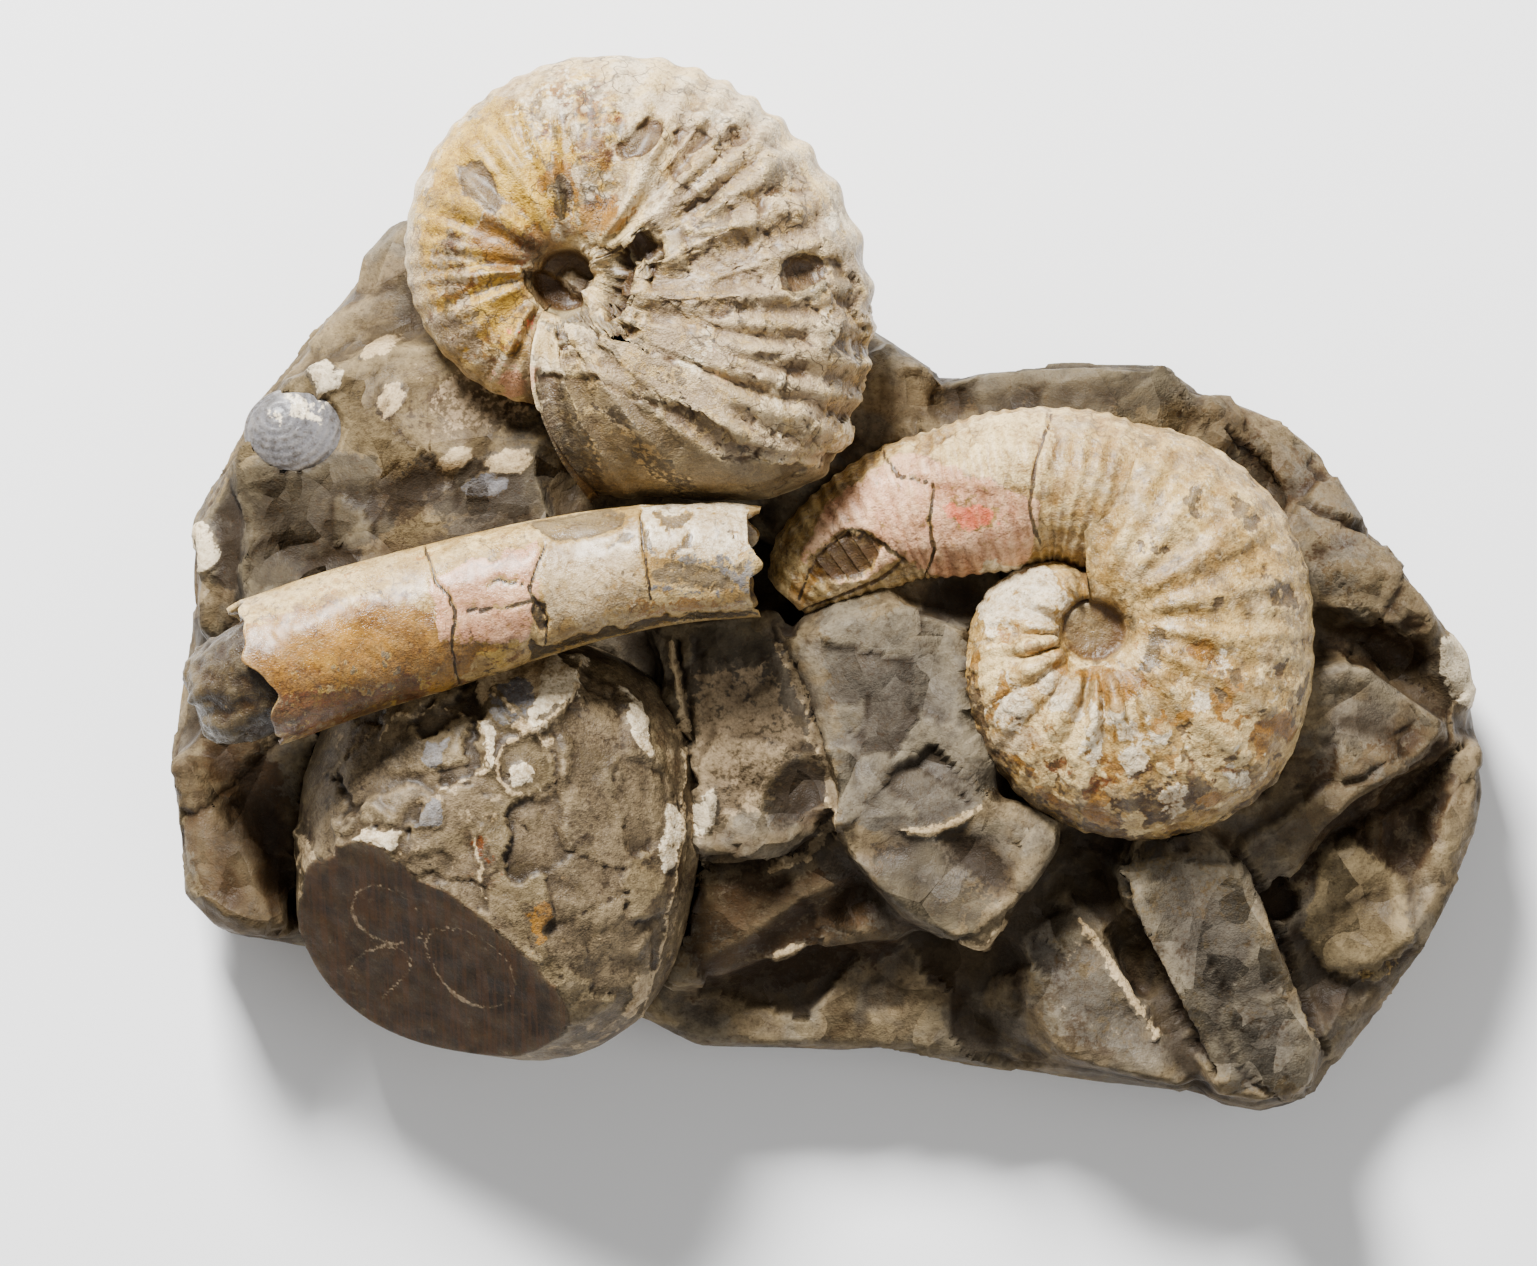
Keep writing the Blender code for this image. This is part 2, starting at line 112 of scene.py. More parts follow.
def line_distance(xy, line):
    """Distance in plan from each point to an open line, and how far along it the nearest place is."""
    line = np.asarray(line, float)
    best = np.full(len(xy), 1e9)
    along = np.zeros(len(xy))
    for i, (a, b) in enumerate(zip(line, line[1:])):
        step = b - a
        share = np.clip(((xy - a) @ step) / max(step @ step, 1e-9), 0, 1)
        away = np.linalg.norm(xy - a - share[:, None] * step, axis=1)
        nearer = away < best
        best[nearer] = away[nearer]
        along[nearer] = (i + share[nearer]) / (len(line) - 1)
    return best, along


def depth_inside(xy, outline):
    """Distance to the outline in plan: positive inside it and negative outside."""
    outline = np.asarray(outline, float)
    closed = np.vstack([outline, outline[:1]])
    away, _ = line_distance(xy, closed)
    within = np.zeros(len(xy), bool)
    for (ax, ay), (bx, by) in zip(closed, closed[1:]):
        if ay == by:
            continue
        crosses = (xy[:, 1] < ay) != (xy[:, 1] < by)
        within ^= crosses & (xy[:, 0] < (bx - ax) * (xy[:, 1] - ay) / (by - ay) + ax)
    return np.where(within, away, -away)


def smooth(value, low, high):
    t = np.clip((value - low) / (high - low), 0, 1)
    return t * t * (3 - 2 * t)


# Noise over points, in millimetres.

def lumps(points, size, seed, octaves=3):
    """Fractal noise between about -1 and 1 with features of the given size."""
    shift = Vector((seed * 17.3, seed * 5.9, seed * 11.1))
    places = points / size
    return np.array([noise.fractal(Vector(p) + shift, 0.9, 2.1, octaves) for p in places])


def chips(points, size, seed):
    """Broken-stone facets: each cell's tilted level, in cell sizes."""
    shift = Vector((seed * 3.7, seed * 13.1, seed * 7.7))
    level = np.empty(len(points))
    for i, p in enumerate(points / size):
        place = Vector(p) + shift
        centre = noise.voronoi(place)[1][0]
        tilt = noise.cell_vector(centre * 3.1) - Vector((0.5, 0.5, 0.5))
        level[i] = (place - centre).dot(tilt) + noise.cell(centre * 7.3) * 0.5
    return level


# Marks: each one colours and lifts the surface inside an outline or along a line.

class Surface:
    """The points of a piece while it is shaped, with the strength of each colour at each point."""

    def __init__(self, points, normals, seed):
        self.points = points.copy()
        self.plain = points
        self.normals = normals
        self.plan = seen(points)
        self.ragged = lumps(points, 1.6, seed, 4)
        self.facing = smooth(normals[:, 2], -0.1, 0.25)
        self.tones = {}
        self.masks = {}

    def mask(self, name, outline):
        """A named region that some marbling keeps to."""
        self.masks[name] = smooth(depth_inside(self.plan, outline) + self.ragged, -1.0, 1.5)

    def blend(self, tone, share):
        share = share * self.facing
        for other in self.tones:
            self.tones[other] = self.tones[other] * (1 - share)
        self.tones[tone] = np.maximum(self.tones.get(tone, 0.0), share)

    def lift(self, height):
        self.points += self.normals * (height * self.facing)[:, None]

    def patch(self, tone, outline, lift=0.0, strength=1.0, edge=0.25, ragged=0.5, reach=None):
        """Colours and lifts the inside of an outline, down to its reach below the highest point."""
        if not lift:
            edge, ragged = max(edge, 1.0), max(ragged, 1.2)
        depth = depth_inside(self.plan, outline) + self.ragged * ragged
        share = smooth(depth, -edge, edge)
        if reach:
            drop = self.points[depth > 0, 2].max(initial=0.0) - self.points[:, 2] + self.ragged
            share = share * (1 - smooth(drop, reach * 0.7, reach))
        self.blend(tone, share * strength)
        self.lift(share * lift)

    def marks(self, marks, **how):
        for tone, lift, strength, outline in marks:
            self.patch(tone, outline, lift, strength, **how)

    def stroke(self, tone, line, width, lift=0.0, strength=1.0, ragged=0.35):
        away, along = line_distance(self.plan + self.ragged[:, None] * 0.5 * ragged, line)
        taper = 0.45 + 0.55 * np.sin(math.pi * np.clip(along, 0.02, 0.98)) + 0.3 * self.ragged
        share = 1 - smooth(away, width * 0.3 * taper, width * taper + 0.05)
        self.blend(tone, share * strength)
        self.lift(share * lift)

    def plates(self, outline, size, lift, seed, joint=0.07, low=None, high=None):
        """Thin broken plates inside an outline, each with its own level and tone and joints between."""
        inside = smooth(depth_inside(self.plan, outline) + self.ragged * 0.8, -0.3, 0.5)
        bent = self.plain / size + lumps(self.plain, size * 0.7, seed, 4)[:, None] * 0.3
        level = np.empty(len(bent))
        gap = np.empty(len(bent))
        for i, place in enumerate(bent):
            distances, centres = noise.voronoi(Vector(place))
            level[i] = noise.cell(centres[0] * 7.3 + Vector((seed, 0, 0)))
            gap[i] = distances[1] - distances[0]
        step = np.round(level * 3) / 3
        open_joint = (1 - smooth(gap, joint * 0.4, joint)) * smooth(self.ragged, -0.5, 0.1)
        sunk, raised = smooth(0.4 - level, 0, 0.1), smooth(level - 0.65, 0, 0.1)
        for tone, share in ((low, sunk), (high, raised)):
            if tone:
                self.blend(tone, share * inside * 0.7)
        self.blend("dark", open_joint * inside * 0.6)
        self.lift((step * lift - open_joint * 0.12) * inside)

    def flakes(self, tone, outline, size, lift, cover, seed, edge=0.05, strength=1.0):
        """Scattered thin flakes inside an outline, with ragged sharp edges."""
        depth = smooth(depth_inside(self.plan, outline) + self.ragged * 0.8, -0.4, 0.8)
        field = lumps(self.plain, size, seed, 4)
        share = smooth(field - (0.5 - cover), -edge, edge) * depth
        self.blend(tone, share * strength)
        self.lift(share * lift)


# Pieces.

def kept_in_box(points):
    low, high = (np.array(corner) / MM for corner in CAD_BOX)
    return np.clip(points, low + 0.01, high - 0.01)


def relief(mesh, rounds, depth):
    """How far each point lies in a hollow, and how far on a crest, from 0 to 1."""
    count = len(mesh.vertices)
    points = np.empty(count * 3)
    mesh.vertices.foreach_get("co", points)
    points = points.reshape(-1, 3) / MM
    normals = np.empty(count * 3)
    mesh.vertices.foreach_get("normal", normals)
    ends = np.empty(len(mesh.edges) * 2, np.int32)
    mesh.edges.foreach_get("vertices", ends)
    one, other = ends.reshape(-1, 2).T
    meeting = np.maximum(np.bincount(ends, minlength=count), 1)
    even = points.copy()
    for _ in range(rounds):
        for axis in range(3):
            total = np.bincount(one, even[other, axis], count)
            total = total + np.bincount(other, even[one, axis], count)
            even[:, axis] = 0.4 * even[:, axis] + 0.6 * total / meeting
    sunk = ((even - points) * normals.reshape(-1, 3)).sum(axis=1) / depth
    return np.clip(sunk, 0, 1), np.clip(-sunk, 0, 1)


def add_mark(mesh, name, values):
    mark = mesh.attributes.new(name, "FLOAT", "POINT")
    mark.data.foreach_set("value", np.clip(values, 0, 1).astype(np.float32))


def add_piece(name, surface, faces, node, finish):
    mesh = bpy.data.meshes.new(name)
    mesh.from_pydata(kept_in_box(surface.points) * MM, [], faces)
    mesh.validate()
    mesh.shade_smooth()
    for mark, share in {**surface.tones, **surface.masks}.items():
        add_mark(mesh, mark, share)
    for scale, rounds, depth in RELIEF_SCALES:
        hollow, crest = relief(mesh, rounds, depth)
        add_mark(mesh, f"hollow_{scale}", hollow)
        add_mark(mesh, f"crest_{scale}", crest)
    mesh.materials.append(finish)
    piece = bpy.data.objects.new(name, mesh)
    bpy.context.scene.collection.objects.link(piece)
    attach(piece, "root")
    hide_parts(node)
    return piece


# Relief is read at two sizes: smoothing rounds and the depth, in millimetres, that counts as full.
RELIEF_SCALES = [("fine", 6, 0.10), ("broad", 45, 0.35)]


def grid_faces(rows, columns):
    """Quads of a grid whose columns close on themselves."""
    r, c = np.meshgrid(np.arange(rows - 1), np.arange(columns), indexing="ij")
    a = r * columns + c
    b = r * columns + (c + 1) % columns
    return np.stack([a, b, b + columns, a + columns], axis=-1).reshape(-1, 4).tolist()


def closed_grid(rings, upper_pole, lower_pole):
    """Points and faces of a closed body from its rings, listed from the upper pole to the lower one."""
    rows, columns = rings.shape[:2]
    points = np.vstack([rings.reshape(-1, 3), [upper_pole], [lower_pole]])
    faces = grid_faces(rows, columns)
    upper, lower = rows * columns, rows * columns + 1
    last = (rows - 1) * columns
    for c in range(columns):
        after = (c + 1) % columns
        faces.append([upper, after, c])
        faces.append([lower, last + c, last + after])
    return points, faces


def normals_of(points, faces):
    """Outward unit normals at the points of a closed body."""
    mesh = bpy.data.meshes.new("normals")
    mesh.from_pydata(points, [], faces)
    bm = bmesh.new()
    bm.from_mesh(mesh)
    bmesh.ops.recalc_face_normals(bm, faces=bm.faces)
    bm.to_mesh(mesh)
    bm.free()
    values = np.empty(len(mesh.vertices) * 3)
    mesh.vertices.foreach_get("normal", values)
    fixed = [list(p.vertices) for p in mesh.polygons]
    bpy.data.meshes.remove(mesh)
    return values.reshape(-1, 3), fixed


def shaped(points, faces, seed):
    """A surface to shape, and its faces turned outward."""
    normals, faces = normals_of(points, faces)
    return Surface(points, normals, seed), faces


# Materials.

def linear(colour):
    """A colour of 0 to 255 values as the shader's, made richer."""
    middle = sum(colour) / 3
    strong = [min(255, max(2, middle + (v - middle) * RICHNESS)) for v in colour]
    return (*[((v / 255 + 0.055) / 1.055) ** 2.4 for v in strong], 1.0)


class Nodes:
    """Short calls for building one material's nodes. Inputs take a number, a tuple or another output."""

    def __init__(self, name):
        self.material = bpy.data.materials.new(name)
        self.material.use_nodes = True
        self.tree = self.material.node_tree
        self.shader = self.tree.nodes["Principled BSDF"]
        self.place = self.add("ShaderNodeTexCoord").outputs["Object"]

    def give(self, socket, given):
        if isinstance(given, bpy.types.NodeSocket):
            self.tree.links.new(given, socket)
        else:
            socket.default_value = given

    def add(self, kind, inputs=(), **settings):
        node = self.tree.nodes.new(kind)
        for key, value in settings.items():
            setattr(node, key, value)
        for key, given in dict(inputs).items():
            self.give(node.inputs[key], given)
        return node

    def noise(self, size, detail, roughness=0.6, stretch=None, output="Fac"):
        place = self.place
        if stretch:
            place = self.add("ShaderNodeMapping", {"Scale": stretch, "Vector": place}).outputs["Vector"]
        fields = {"Scale": 1 / (size * MM), "Detail": detail, "Roughness": roughness, "Vector": place}
        return self.add("ShaderNodeTexNoise", fields).outputs[output]

    def value(self, operation, a, b):
        return self.add("ShaderNodeMath", {0: a, 1: b}, operation=operation).outputs["Value"]

    def times(self, a, b):
        return self.value("MULTIPLY", a, b)

    def blend(self, *parts):
        """The weighted sum of (source, weight) parts."""
        total = self.times(*parts[0])
        for part in parts[1:]:
            total = self.value("ADD", total, self.times(*part))
        return total

    def vector(self, operation, a, b, output="Vector"):
        return self.add("ShaderNodeVectorMath", {0: a, 1: b}, operation=operation).outputs[output]

    def ramp(self, source, low, high, to_low=0.0, to_high=1.0):
        fields = {"From Min": low, "From Max": high, "To Min": to_low, "To Max": to_high, "Value": source}
        return self.add("ShaderNodeMapRange", fields, interpolation_type="SMOOTHSTEP").outputs["Result"]

    def mix(self, share, first, second):
        fields = {"Factor": share, "A": first, "B": second}
        return self.add("ShaderNodeMix", fields, data_type="RGBA").outputs["Result"]

    def warped(self, bend_size, shift):
        """The place, pushed about by noise."""
        bend = self.noise(bend_size, 1.0, 0.5, output="Color")
        return self.vector("ADD", self.place, self.vector("MULTIPLY", bend, (shift * MM,) * 3))

    def cells(self, size, place, feature):
        fields = {"Scale": 1 / (size * MM), "Vector": place}
        return self.add("ShaderNodeTexVoronoi", fields, feature=feature).outputs

    def hairlines(self, size):
        """Thin wandering cracks, thinning out and stopping in places."""
        away = self.cells(size, self.warped(size * 0.5, size * 0.9), "DISTANCE_TO_EDGE")["Distance"]
        line = self.ramp(away, 0.0, 0.035, 1.0, 0.0)
        return self.times(line, self.ramp(self.noise(5.0, 1.0), 0.45, 0.6))

    def facets(self, size):
        """Broken faces: the height in cell sizes, each cell a tilted plane, and a level for each cell."""
        place = self.warped(size * 1.3, size * 0.9)
        cells = self.cells(size, place, "F1")
        offset = self.vector("SUBTRACT", place, cells["Position"])
        tilt = self.vector("SUBTRACT", cells["Color"], (0.5, 0.5, 0.5))
        height = self.vector("DOT_PRODUCT", offset, tilt, "Value")
        level = self.add("ShaderNodeSeparateColor", {"Color": cells["Color"]}).outputs["Red"]
        return self.value("DIVIDE", height, size * MM), level

    def bump(self, height, distance, under=None):
        fields = {"Strength": 1.0, "Distance": distance * MM, "Height": height}
        if under:
            fields["Normal"] = under
        return self.add("ShaderNodeBump", fields).outputs["Normal"]

    def tone(self, name, share):
        dark, light = TONES[name]
        return self.mix(share, linear(dark), linear(light))

    def mark(self, name):
        return self.add("ShaderNodeAttribute", attribute_name=name).outputs["Fac"]


WORN_AND_HIGHLIGHT_COLOUR = (222, 206, 172)
CRACK_COLOUR = (36, 28, 20)
SPECK_COLOUR = (52, 40, 28)
SCORE_COLOUR = (76, 54, 36)


def marbled(n, base, marbling, mottle):
    """The base tone marbled with others: (tone, size, cover, strength), and the mark it keeps to."""
    colour = n.tone(base, mottle)
    for tone, size, cover, strength, *within in marbling:
        field = n.noise(size, 3.0, 0.65, stretch=(1.0, 1.0, 1.0 + 0.07 * size))
        share = n.times(n.ramp(field, 0.62 - cover * 0.3, 0.70 - cover * 0.3), strength)
        for mark in within:
            share = n.times(share, n.mark(mark))
        colour = n.mix(share, colour, n.tone(tone, mottle))
    return colour


def marked(n, colour, tones, mottle, middle, fine):
    """The marked tones over a colour, each with frayed edges."""
    fray = n.value("SUBTRACT", n.blend((middle, 0.7), (fine, 0.5)), 0.6)
    for tone in tones:
        mark = n.mark(tone)
        edge = n.ramp(n.blend((mark, 1.0), (fray, 1.8)), 0.4, 0.65)
        patchy = n.times(n.ramp(fine, 0.25, 0.6, 0.6, 0.95), n.ramp(mark, 0.02, 0.2))
        colour = n.mix(n.times(edge, patchy), colour, n.tone(tone, mottle))
    return colour


def aged_with_painted_light(n, colour, middle, wear_and_highlight, grime_and_shade, dirt_and_shade_share):
    """A colour with paler crests, partly from rubbing and partly painted highlight, and darker hollows,
    partly from soiling and partly painted shade.
    """
    crest = n.blend((n.mark("crest_broad"), 1.0), (n.mark("crest_fine"), 0.3))
    # Crests are painted paler: partly rubbed shell and stone, partly painted highlight along the edges.
    worn_and_highlit = n.times(crest, n.ramp(middle, 0.35, 0.6, wear_and_highlight * 0.3, wear_and_highlight))
    colour = n.mix(worn_and_highlit, colour, n.mix(0.55, colour, linear(WORN_AND_HIGHLIGHT_COLOUR)))
    # Hollows are painted darker: partly soiling, partly painted shade.
    sunk = n.blend((n.mark("hollow_broad"), 0.75), (n.mark("hollow_fine"), 0.45))
    dirt_and_shade = n.times(sunk, n.ramp(middle, 0.3, 0.6, 0.55, 1.0))
    return n.mix(n.value("MINIMUM", dirt_and_shade, dirt_and_shade_share), colour, linear(grime_and_shade))


def weathered(name, base, tones, roughness, grain, grain_depth, coat=0.0, crackle=0.0,
              grime_and_shade=(50, 38, 26), marbling=(), wear_and_highlight=0.35, sawn=False, facets=(), dirt_and_shade_share=0.85,
              mottling=(0.38, 0.62), gloss=0.3):
    """A stained surface, rubbed pale on its crests with painted highlights there, and darkened in its
    hollows with soiling and painted shade. Facets are (size, height in millimetres, contrast).
    """
    n = Nodes(name)
    middle, fine = n.noise(1.8, 3.0, 0.65), n.noise(0.45, 2.0, 0.7)
    even = n.blend((n.noise(6.0, 2.0), 0.3), (middle, 0.3), (fine, 0.2), (n.noise(0.17, 1.0, 0.7), 0.2))
    mottle = n.ramp(even, *mottling)
    colour = marked(n, marbled(n, base, marbling, mottle), tones, mottle, middle, fine)
    normal = None
    for size, height, contrast in facets:
        face, level = n.facets(size)
        if sawn:
            face = n.times(face, n.value("SUBTRACT", 1.0, n.mark("sawn")))
        normal = n.bump(face, height, normal)
        if contrast:
            colour = n.mix(n.times(level, contrast), colour, linear(grime_and_shade))
    # Painted highlight on the crests and painted shade in the hollows, mixed with real rubbing and
    # soiling.
    colour = aged_with_painted_light(n, colour, middle, wear_and_highlight, grime_and_shade, dirt_and_shade_share)
    if crackle:
        colour = n.mix(n.times(n.hairlines(3.2), crackle), colour, linear(CRACK_COLOUR))
    specks = n.ramp(n.noise(0.32, 1.0, 0.5), 0.63, 0.70)
    colour = n.mix(n.times(specks, 0.4), colour, linear(SPECK_COLOUR))
    rough = n.ramp(n.noise(2.2, 2.0), 0.35, 0.65, roughness - 0.14, roughness + 0.1)
    if sawn:
        scores = n.ramp(n.noise(0.28, 2.0, 0.4, stretch=(1.0, 0.04, 0.04)), 0.45, 0.62)
        colour = n.mix(n.times(n.times(scores, n.mark("sawn")), 0.4), colour, linear(SCORE_COLOUR))
        rough = n.blend((rough, 1.0), (n.mark("sawn"), 0.35))
    matt_where_slate = n.ramp(n.mark("slate"), 0.0, 1.0, coat, 0.0) if coat and "slate" in tones else coat
    height = n.blend((n.noise(grain, 3.0, 0.68), 0.7), (n.noise(grain * 0.3, 1.0), 0.3))
    for socket, given in {
        "Base Color": colour, "Roughness": rough, "Specular IOR Level": gloss,
        "Coat Weight": matt_where_slate, "Coat Roughness": 0.35,
        "Normal": n.bump(height, grain_depth, normal),
    }.items():
        n.give(n.shader.inputs[socket], given)
    return n.material


# The rock: the CAD rock remeshed finely, then chipped, cracked and marked.

ROCK_CELL = 0.48


def fine_copy(node, cell):
    """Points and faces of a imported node, remeshed into an even fine skin."""
    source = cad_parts[node]
    copy = bpy.data.objects.new("copy", source.data.copy())
    bpy.context.scene.collection.objects.link(copy)
    copy.matrix_world = source.matrix_world
    remesh = copy.modifiers.new("even skin", "REMESH")
    remesh.mode = "VOXEL"
    remesh.voxel_size = cell * MM
    even = copy.evaluated_get(bpy.context.evaluated_depsgraph_get()).to_mesh()
    points = np.empty(len(even.vertices) * 3)
    even.vertices.foreach_get("co", points)
    points = points.reshape(-1, 3)
    turned = np.array(source.matrix_world)
    points = (points @ turned[:3, :3].T + turned[:3, 3]) / MM
    faces = [list(p.vertices) for p in even.polygons]
    bpy.data.objects.remove(copy, do_unlink=True)
    return points, faces


ROCK_GAPS = [
    [(-11.8, -4.4), (-11, -9.2), (-10.8, -14), (-11.6, -21.2), (-12.8, -27.6), (-14, -33.2)],
    [(-3.9, -2.8), (-2.7, -6.8), (-0.7, -12.4), (0.4, -17.2), (0.2, -20.6), (-1.9, -22), (-6.7, -23),
        (-10.7, -23)],
    [(33.3, -21.2), (35.6, -25.2), (38.1, -32), (40.2, -37.2)],
    [(23.6, -23.6), (26.1, -30), (29.3, -36.4), (31.1, -39.2)],
    [(37.8, -23.6), (40.5, -20.4), (46.1, -17.2), (51.4, -12.6)],
    [(32.4, 12.4), (35.1, 9.2), (37.3, 5.2)], [(38.1, 6.8), (43.9, 4.2), (47.7, 2)],
]
ROCK_CRACKS = [
    [(29.3, -21.2), (23.7, -22), (20.5, -20.6)], [(9.3, 15.4), (9.7, 17.6)],
    [(28.5, 15.2), (30.1, 13.2), (32.1, 10.4)], [(38.9, -4.4), (44.5, -6), (49.3, -9.2)],
    [(40.5, 2), (42.1, -1.2), (46.1, -4.4)], [(3.7, -8.4), (3.2, -12.4), (2.6, -14.2), (2.3, -17.4)],
    [(1.7, -11.4), (3.2, -12.4)], [(-21.1, 14.8), (-21.4, 10.8), (-18.7, 7.6)],
    [(-46.7, -17.2), (-43.9, -22), (-42.2, -27.6)], [(6.1, -14), (9.3, -15.6), (12.5, -18)],
    [(30.9, -30), (32.5, -33.2), (32.9, -35.6)], [(38.1, -16.4), (42.9, -15.6), (46.9, -13.2)],
    [(-36, 17), (-34, 12), (-30, 9), (-29, 5.5)], [(-31, 21), (-28, 17), (-24, 15)],
]
ROCK_SHELL_LINES = [
    [(-12.3, -4.4), (-11.3, -9.2), (-11, -14), (-11.8, -21.2), (-12.8, -26.8)],
    [(-3.6, -4.4), (-1.9, -9.2), (-0.1, -14.8), (0.5, -19.6), (-0.9, -21.8), (-4.3, -23)],
    [(6.1, -19.8), (9.3, -19.6), (12.9, -17.8)],
    [(10.9, -28.8), (12.9, -29.6), (14.8, -27)],
    [(20.5, -26.8), (22.9, -30), (26.9, -36.4)],
]

# The CAD fossils stand this far off their pockets; in the find the rock closes on them.
POCKET_GAP = 0.55
POCKET_REACH = 2.0
RESTING_HEIGHT = 0.4
# Size, height and seed of the ledges that the rock breaks into.
ROCK_LEDGES = [(13, 0.6, 2), (5.5, 0.4, 5), (2.4, 0.14, 7)]


def close_on_fossils(rock):
    """Moves the pocket walls up to the fossils they hold."""
    for node in ("ammonite_upper", "ammonite_lower", "baculite", "cast", "clam"):
        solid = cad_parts[node]
        corners = [solid.matrix_world @ v.co for v in solid.data.vertices]
        tree = BVHTree.FromPolygons(corners, [list(p.vertices) for p in solid.data.polygons])
        for i, point in enumerate(rock.points):
            near = tree.find_nearest(Vector(point * MM), POCKET_REACH * MM)
            if near[0] is None:
                continue
            towards = np.array(near[0]) / MM - point
            away = np.linalg.norm(towards)
            if away > 1e-6 and towards @ rock.normals[i] > 0.2 * away:
                rock.points[i] += towards * smooth(POCKET_REACH - away, 0.0, 1.2) * 1.15


def build_rock():
    points, faces = fine_copy("matrix", ROCK_CELL)
    rock, faces = shaped(points, faces, 3)
    close_on_fossils(rock)
    rock.facing = np.where(points[:, 2] < RESTING_HEIGHT, 0.0, 1.0)
    warped = rock.points + lumps(rock.points, 4.0, 34, 3)[:, None] * 0.5
    rough = smooth(lumps(points, 11.0, 6, 2), -0.25, 0.3)
    for size, height, seed in ROCK_LEDGES:
        broken = 1 if size > 10 else 0.1 + 0.9 * rough
        rock.lift((chips(warped, size, seed) - 0.25) * height * broken)
    rock.lift(lumps(points, 0.9, 10, 3) * 0.04)
    for line in ROCK_GAPS:
        rock.stroke("dark", line, 0.5, lift=-0.9, strength=0.9)
    for line in ROCK_CRACKS:
        rock.stroke("dark", line, 0.3, lift=-0.25, strength=0.9)
    for tone, outline, strength in ROCK_TONES:
        rock.patch(tone, outline, strength=strength, edge=1.0, ragged=1.2)
    # The scars are painted dark slate: painted shade in the hollows.
    for outline in ROCK_SCARS:
        rock.patch("slate", outline, lift=-0.9, edge=1.4, ragged=0.3, strength=0.8)
    for line in ROCK_SHELL_LINES:
        rock.stroke("pearl", line, 0.5, lift=0.45)
    for tone, lift, outline in ROCK_CHIPS:
        rock.patch(tone, outline, lift=lift, ragged=0.3, reach=4.0)
    finish = weathered(
        "mudstone", "mud",
        ["grey", "olive", "ash", "slate", "brown", "rust", "tan", "dark", "white", "pearl", "blue"],
        0.6, 0.5, 0.12, grime_and_shade=(30, 23, 15), wear_and_highlight=0.12, dirt_and_shade_share=0.7,
        mottling=(0.3, 0.7), gloss=0.12, facets=[(8.0, 6.5, 0.2), (2.6, 1.2, 0)],
        marbling=[("grey", 9.0, 0.6, 0.7), ("olive", 4.0, 0.35, 0.5), ("brown", 6.0, 0.3, 0.6)])
    return add_piece("rock", rock, faces, "matrix", finish)


ROCK_TONES = [
    ("olive", [(-41.9, 20.4), (-30.7, 21.2), (-21.1, 8.4), (-32.3, 3.6), (-48.3, 0.4), (-49.9, 6.8),
        (-45.1, 14.8)], 0.9),
    ("slate", [(-48.3, 8.4), (-42, 12), (-36, 10), (-34, 4), (-40, 0), (-47, -1), (-50, 2)], 0.9),
    ("slate", [(-32, 10.5), (-22.5, 11), (-21.5, 6), (-28, 5), (-33, 6)], 0.9),
    ("olive", [(-33.9, 18), (-23.5, 16.4), (-22.3, 11.6), (-33.1, 11.6)], 0.8),
    ("ash", [(-10.7, -6.4), (-4.3, -5.8), (-0.9, -14), (-2.3, -17.2), (-10.7, -20.4)], 0.7),
    # A pale ash patch: partly pale shell chips, partly painted light where the upper ammonite's shadow
    # falls.
    ("ash", [(-32.5, 17), (-24, 15.8), (-23.6, 12), (-31.5, 12)], 0.5),
    ("slate", [(-10.7, -3.4), (-4.3, -2.8), (-3.9, -5.8), (-10.7, -6.4)], 0.8),
    ("slate", [(4.1, -20.4), (14.1, -19.2), (15, -24), (11, -29), (4, -25)], 0.8),
    ("brown", [(-52, -16), (-46, -14), (-43, -22), (-44, -29), (-50, -28)], 0.6),
    ("ash", [(16.5, -29.6), (20.5, -28.4), (25.9, -37), (18.9, -36.4)], 0.5),
    ("grey", [(24, -22), (32, -21.6), (38, -33), (38.8, -39), (33.5, -40.2)], 0.9),
    ("slate", [(9.1, 18.5), (28.5, 18.5), (28.5, 14), (10, 14)], 0.9),
    ("slate", [(27.5, 15), (33, 15), (44, 5), (42, 1), (34, 8)], 0.6),
    ("grey", [(-0.3, -2), (10.9, -1.2), (12.1, -9.2), (14.1, -15.6), (10.9, -20.4), (1.3, -19.6)], 0.9),
    ("grey", [(22.1, -22), (30.1, -21.2), (38.1, -33.2), (39.3, -40.4), (32.5, -41.2)], 0.7),
    ("grey", [(14.9, -27.6), (19.7, -26), (26.9, -37.2), (18.9, -38)], 0.6),
    ("brown", [(-52.7, -14), (-45.9, -10.8), (-41.9, -19.6), (-41.9, -29.2), (-49.9, -27.6)], 0.9),
    ("brown", [(-11.5, -23.6), (2.9, -22.8), (6.1, -29.2), (-0.3, -32.4), (-10.7, -33.2)], 0.7),
    ("brown", [(38.1, -15.6), (50.1, -9.2), (51.7, -17.2), (46.1, -25.2), (38.1, -23.6)], 0.6),
    ("orange", oval(45, -6, 3.5, 3), 0.4),
    ("brown", [(28.5, 14.8), (34.9, 14.8), (46.1, 5.2), (50.9, -2.8), (41.3, -1.2), (34.1, 8.4)], 0.5),
    ("tan", oval(42.9, -26.8, 3.6, 5.4, 10), 0.5),
    ("brown", oval(45.3, -4.4, 3.5, 2.5), 0.8),
]
# Conchoidal scars on the blocks: sunk, and painted slate as painted shade in the hollows.
ROCK_SCARS = [
    oval(-2.2, -16.8, 2.4, 3.4, -25), oval(12.5, -22.5, 3.2, 1.8, -40), oval(-33, 7.6, 3, 1.8, 20),
]
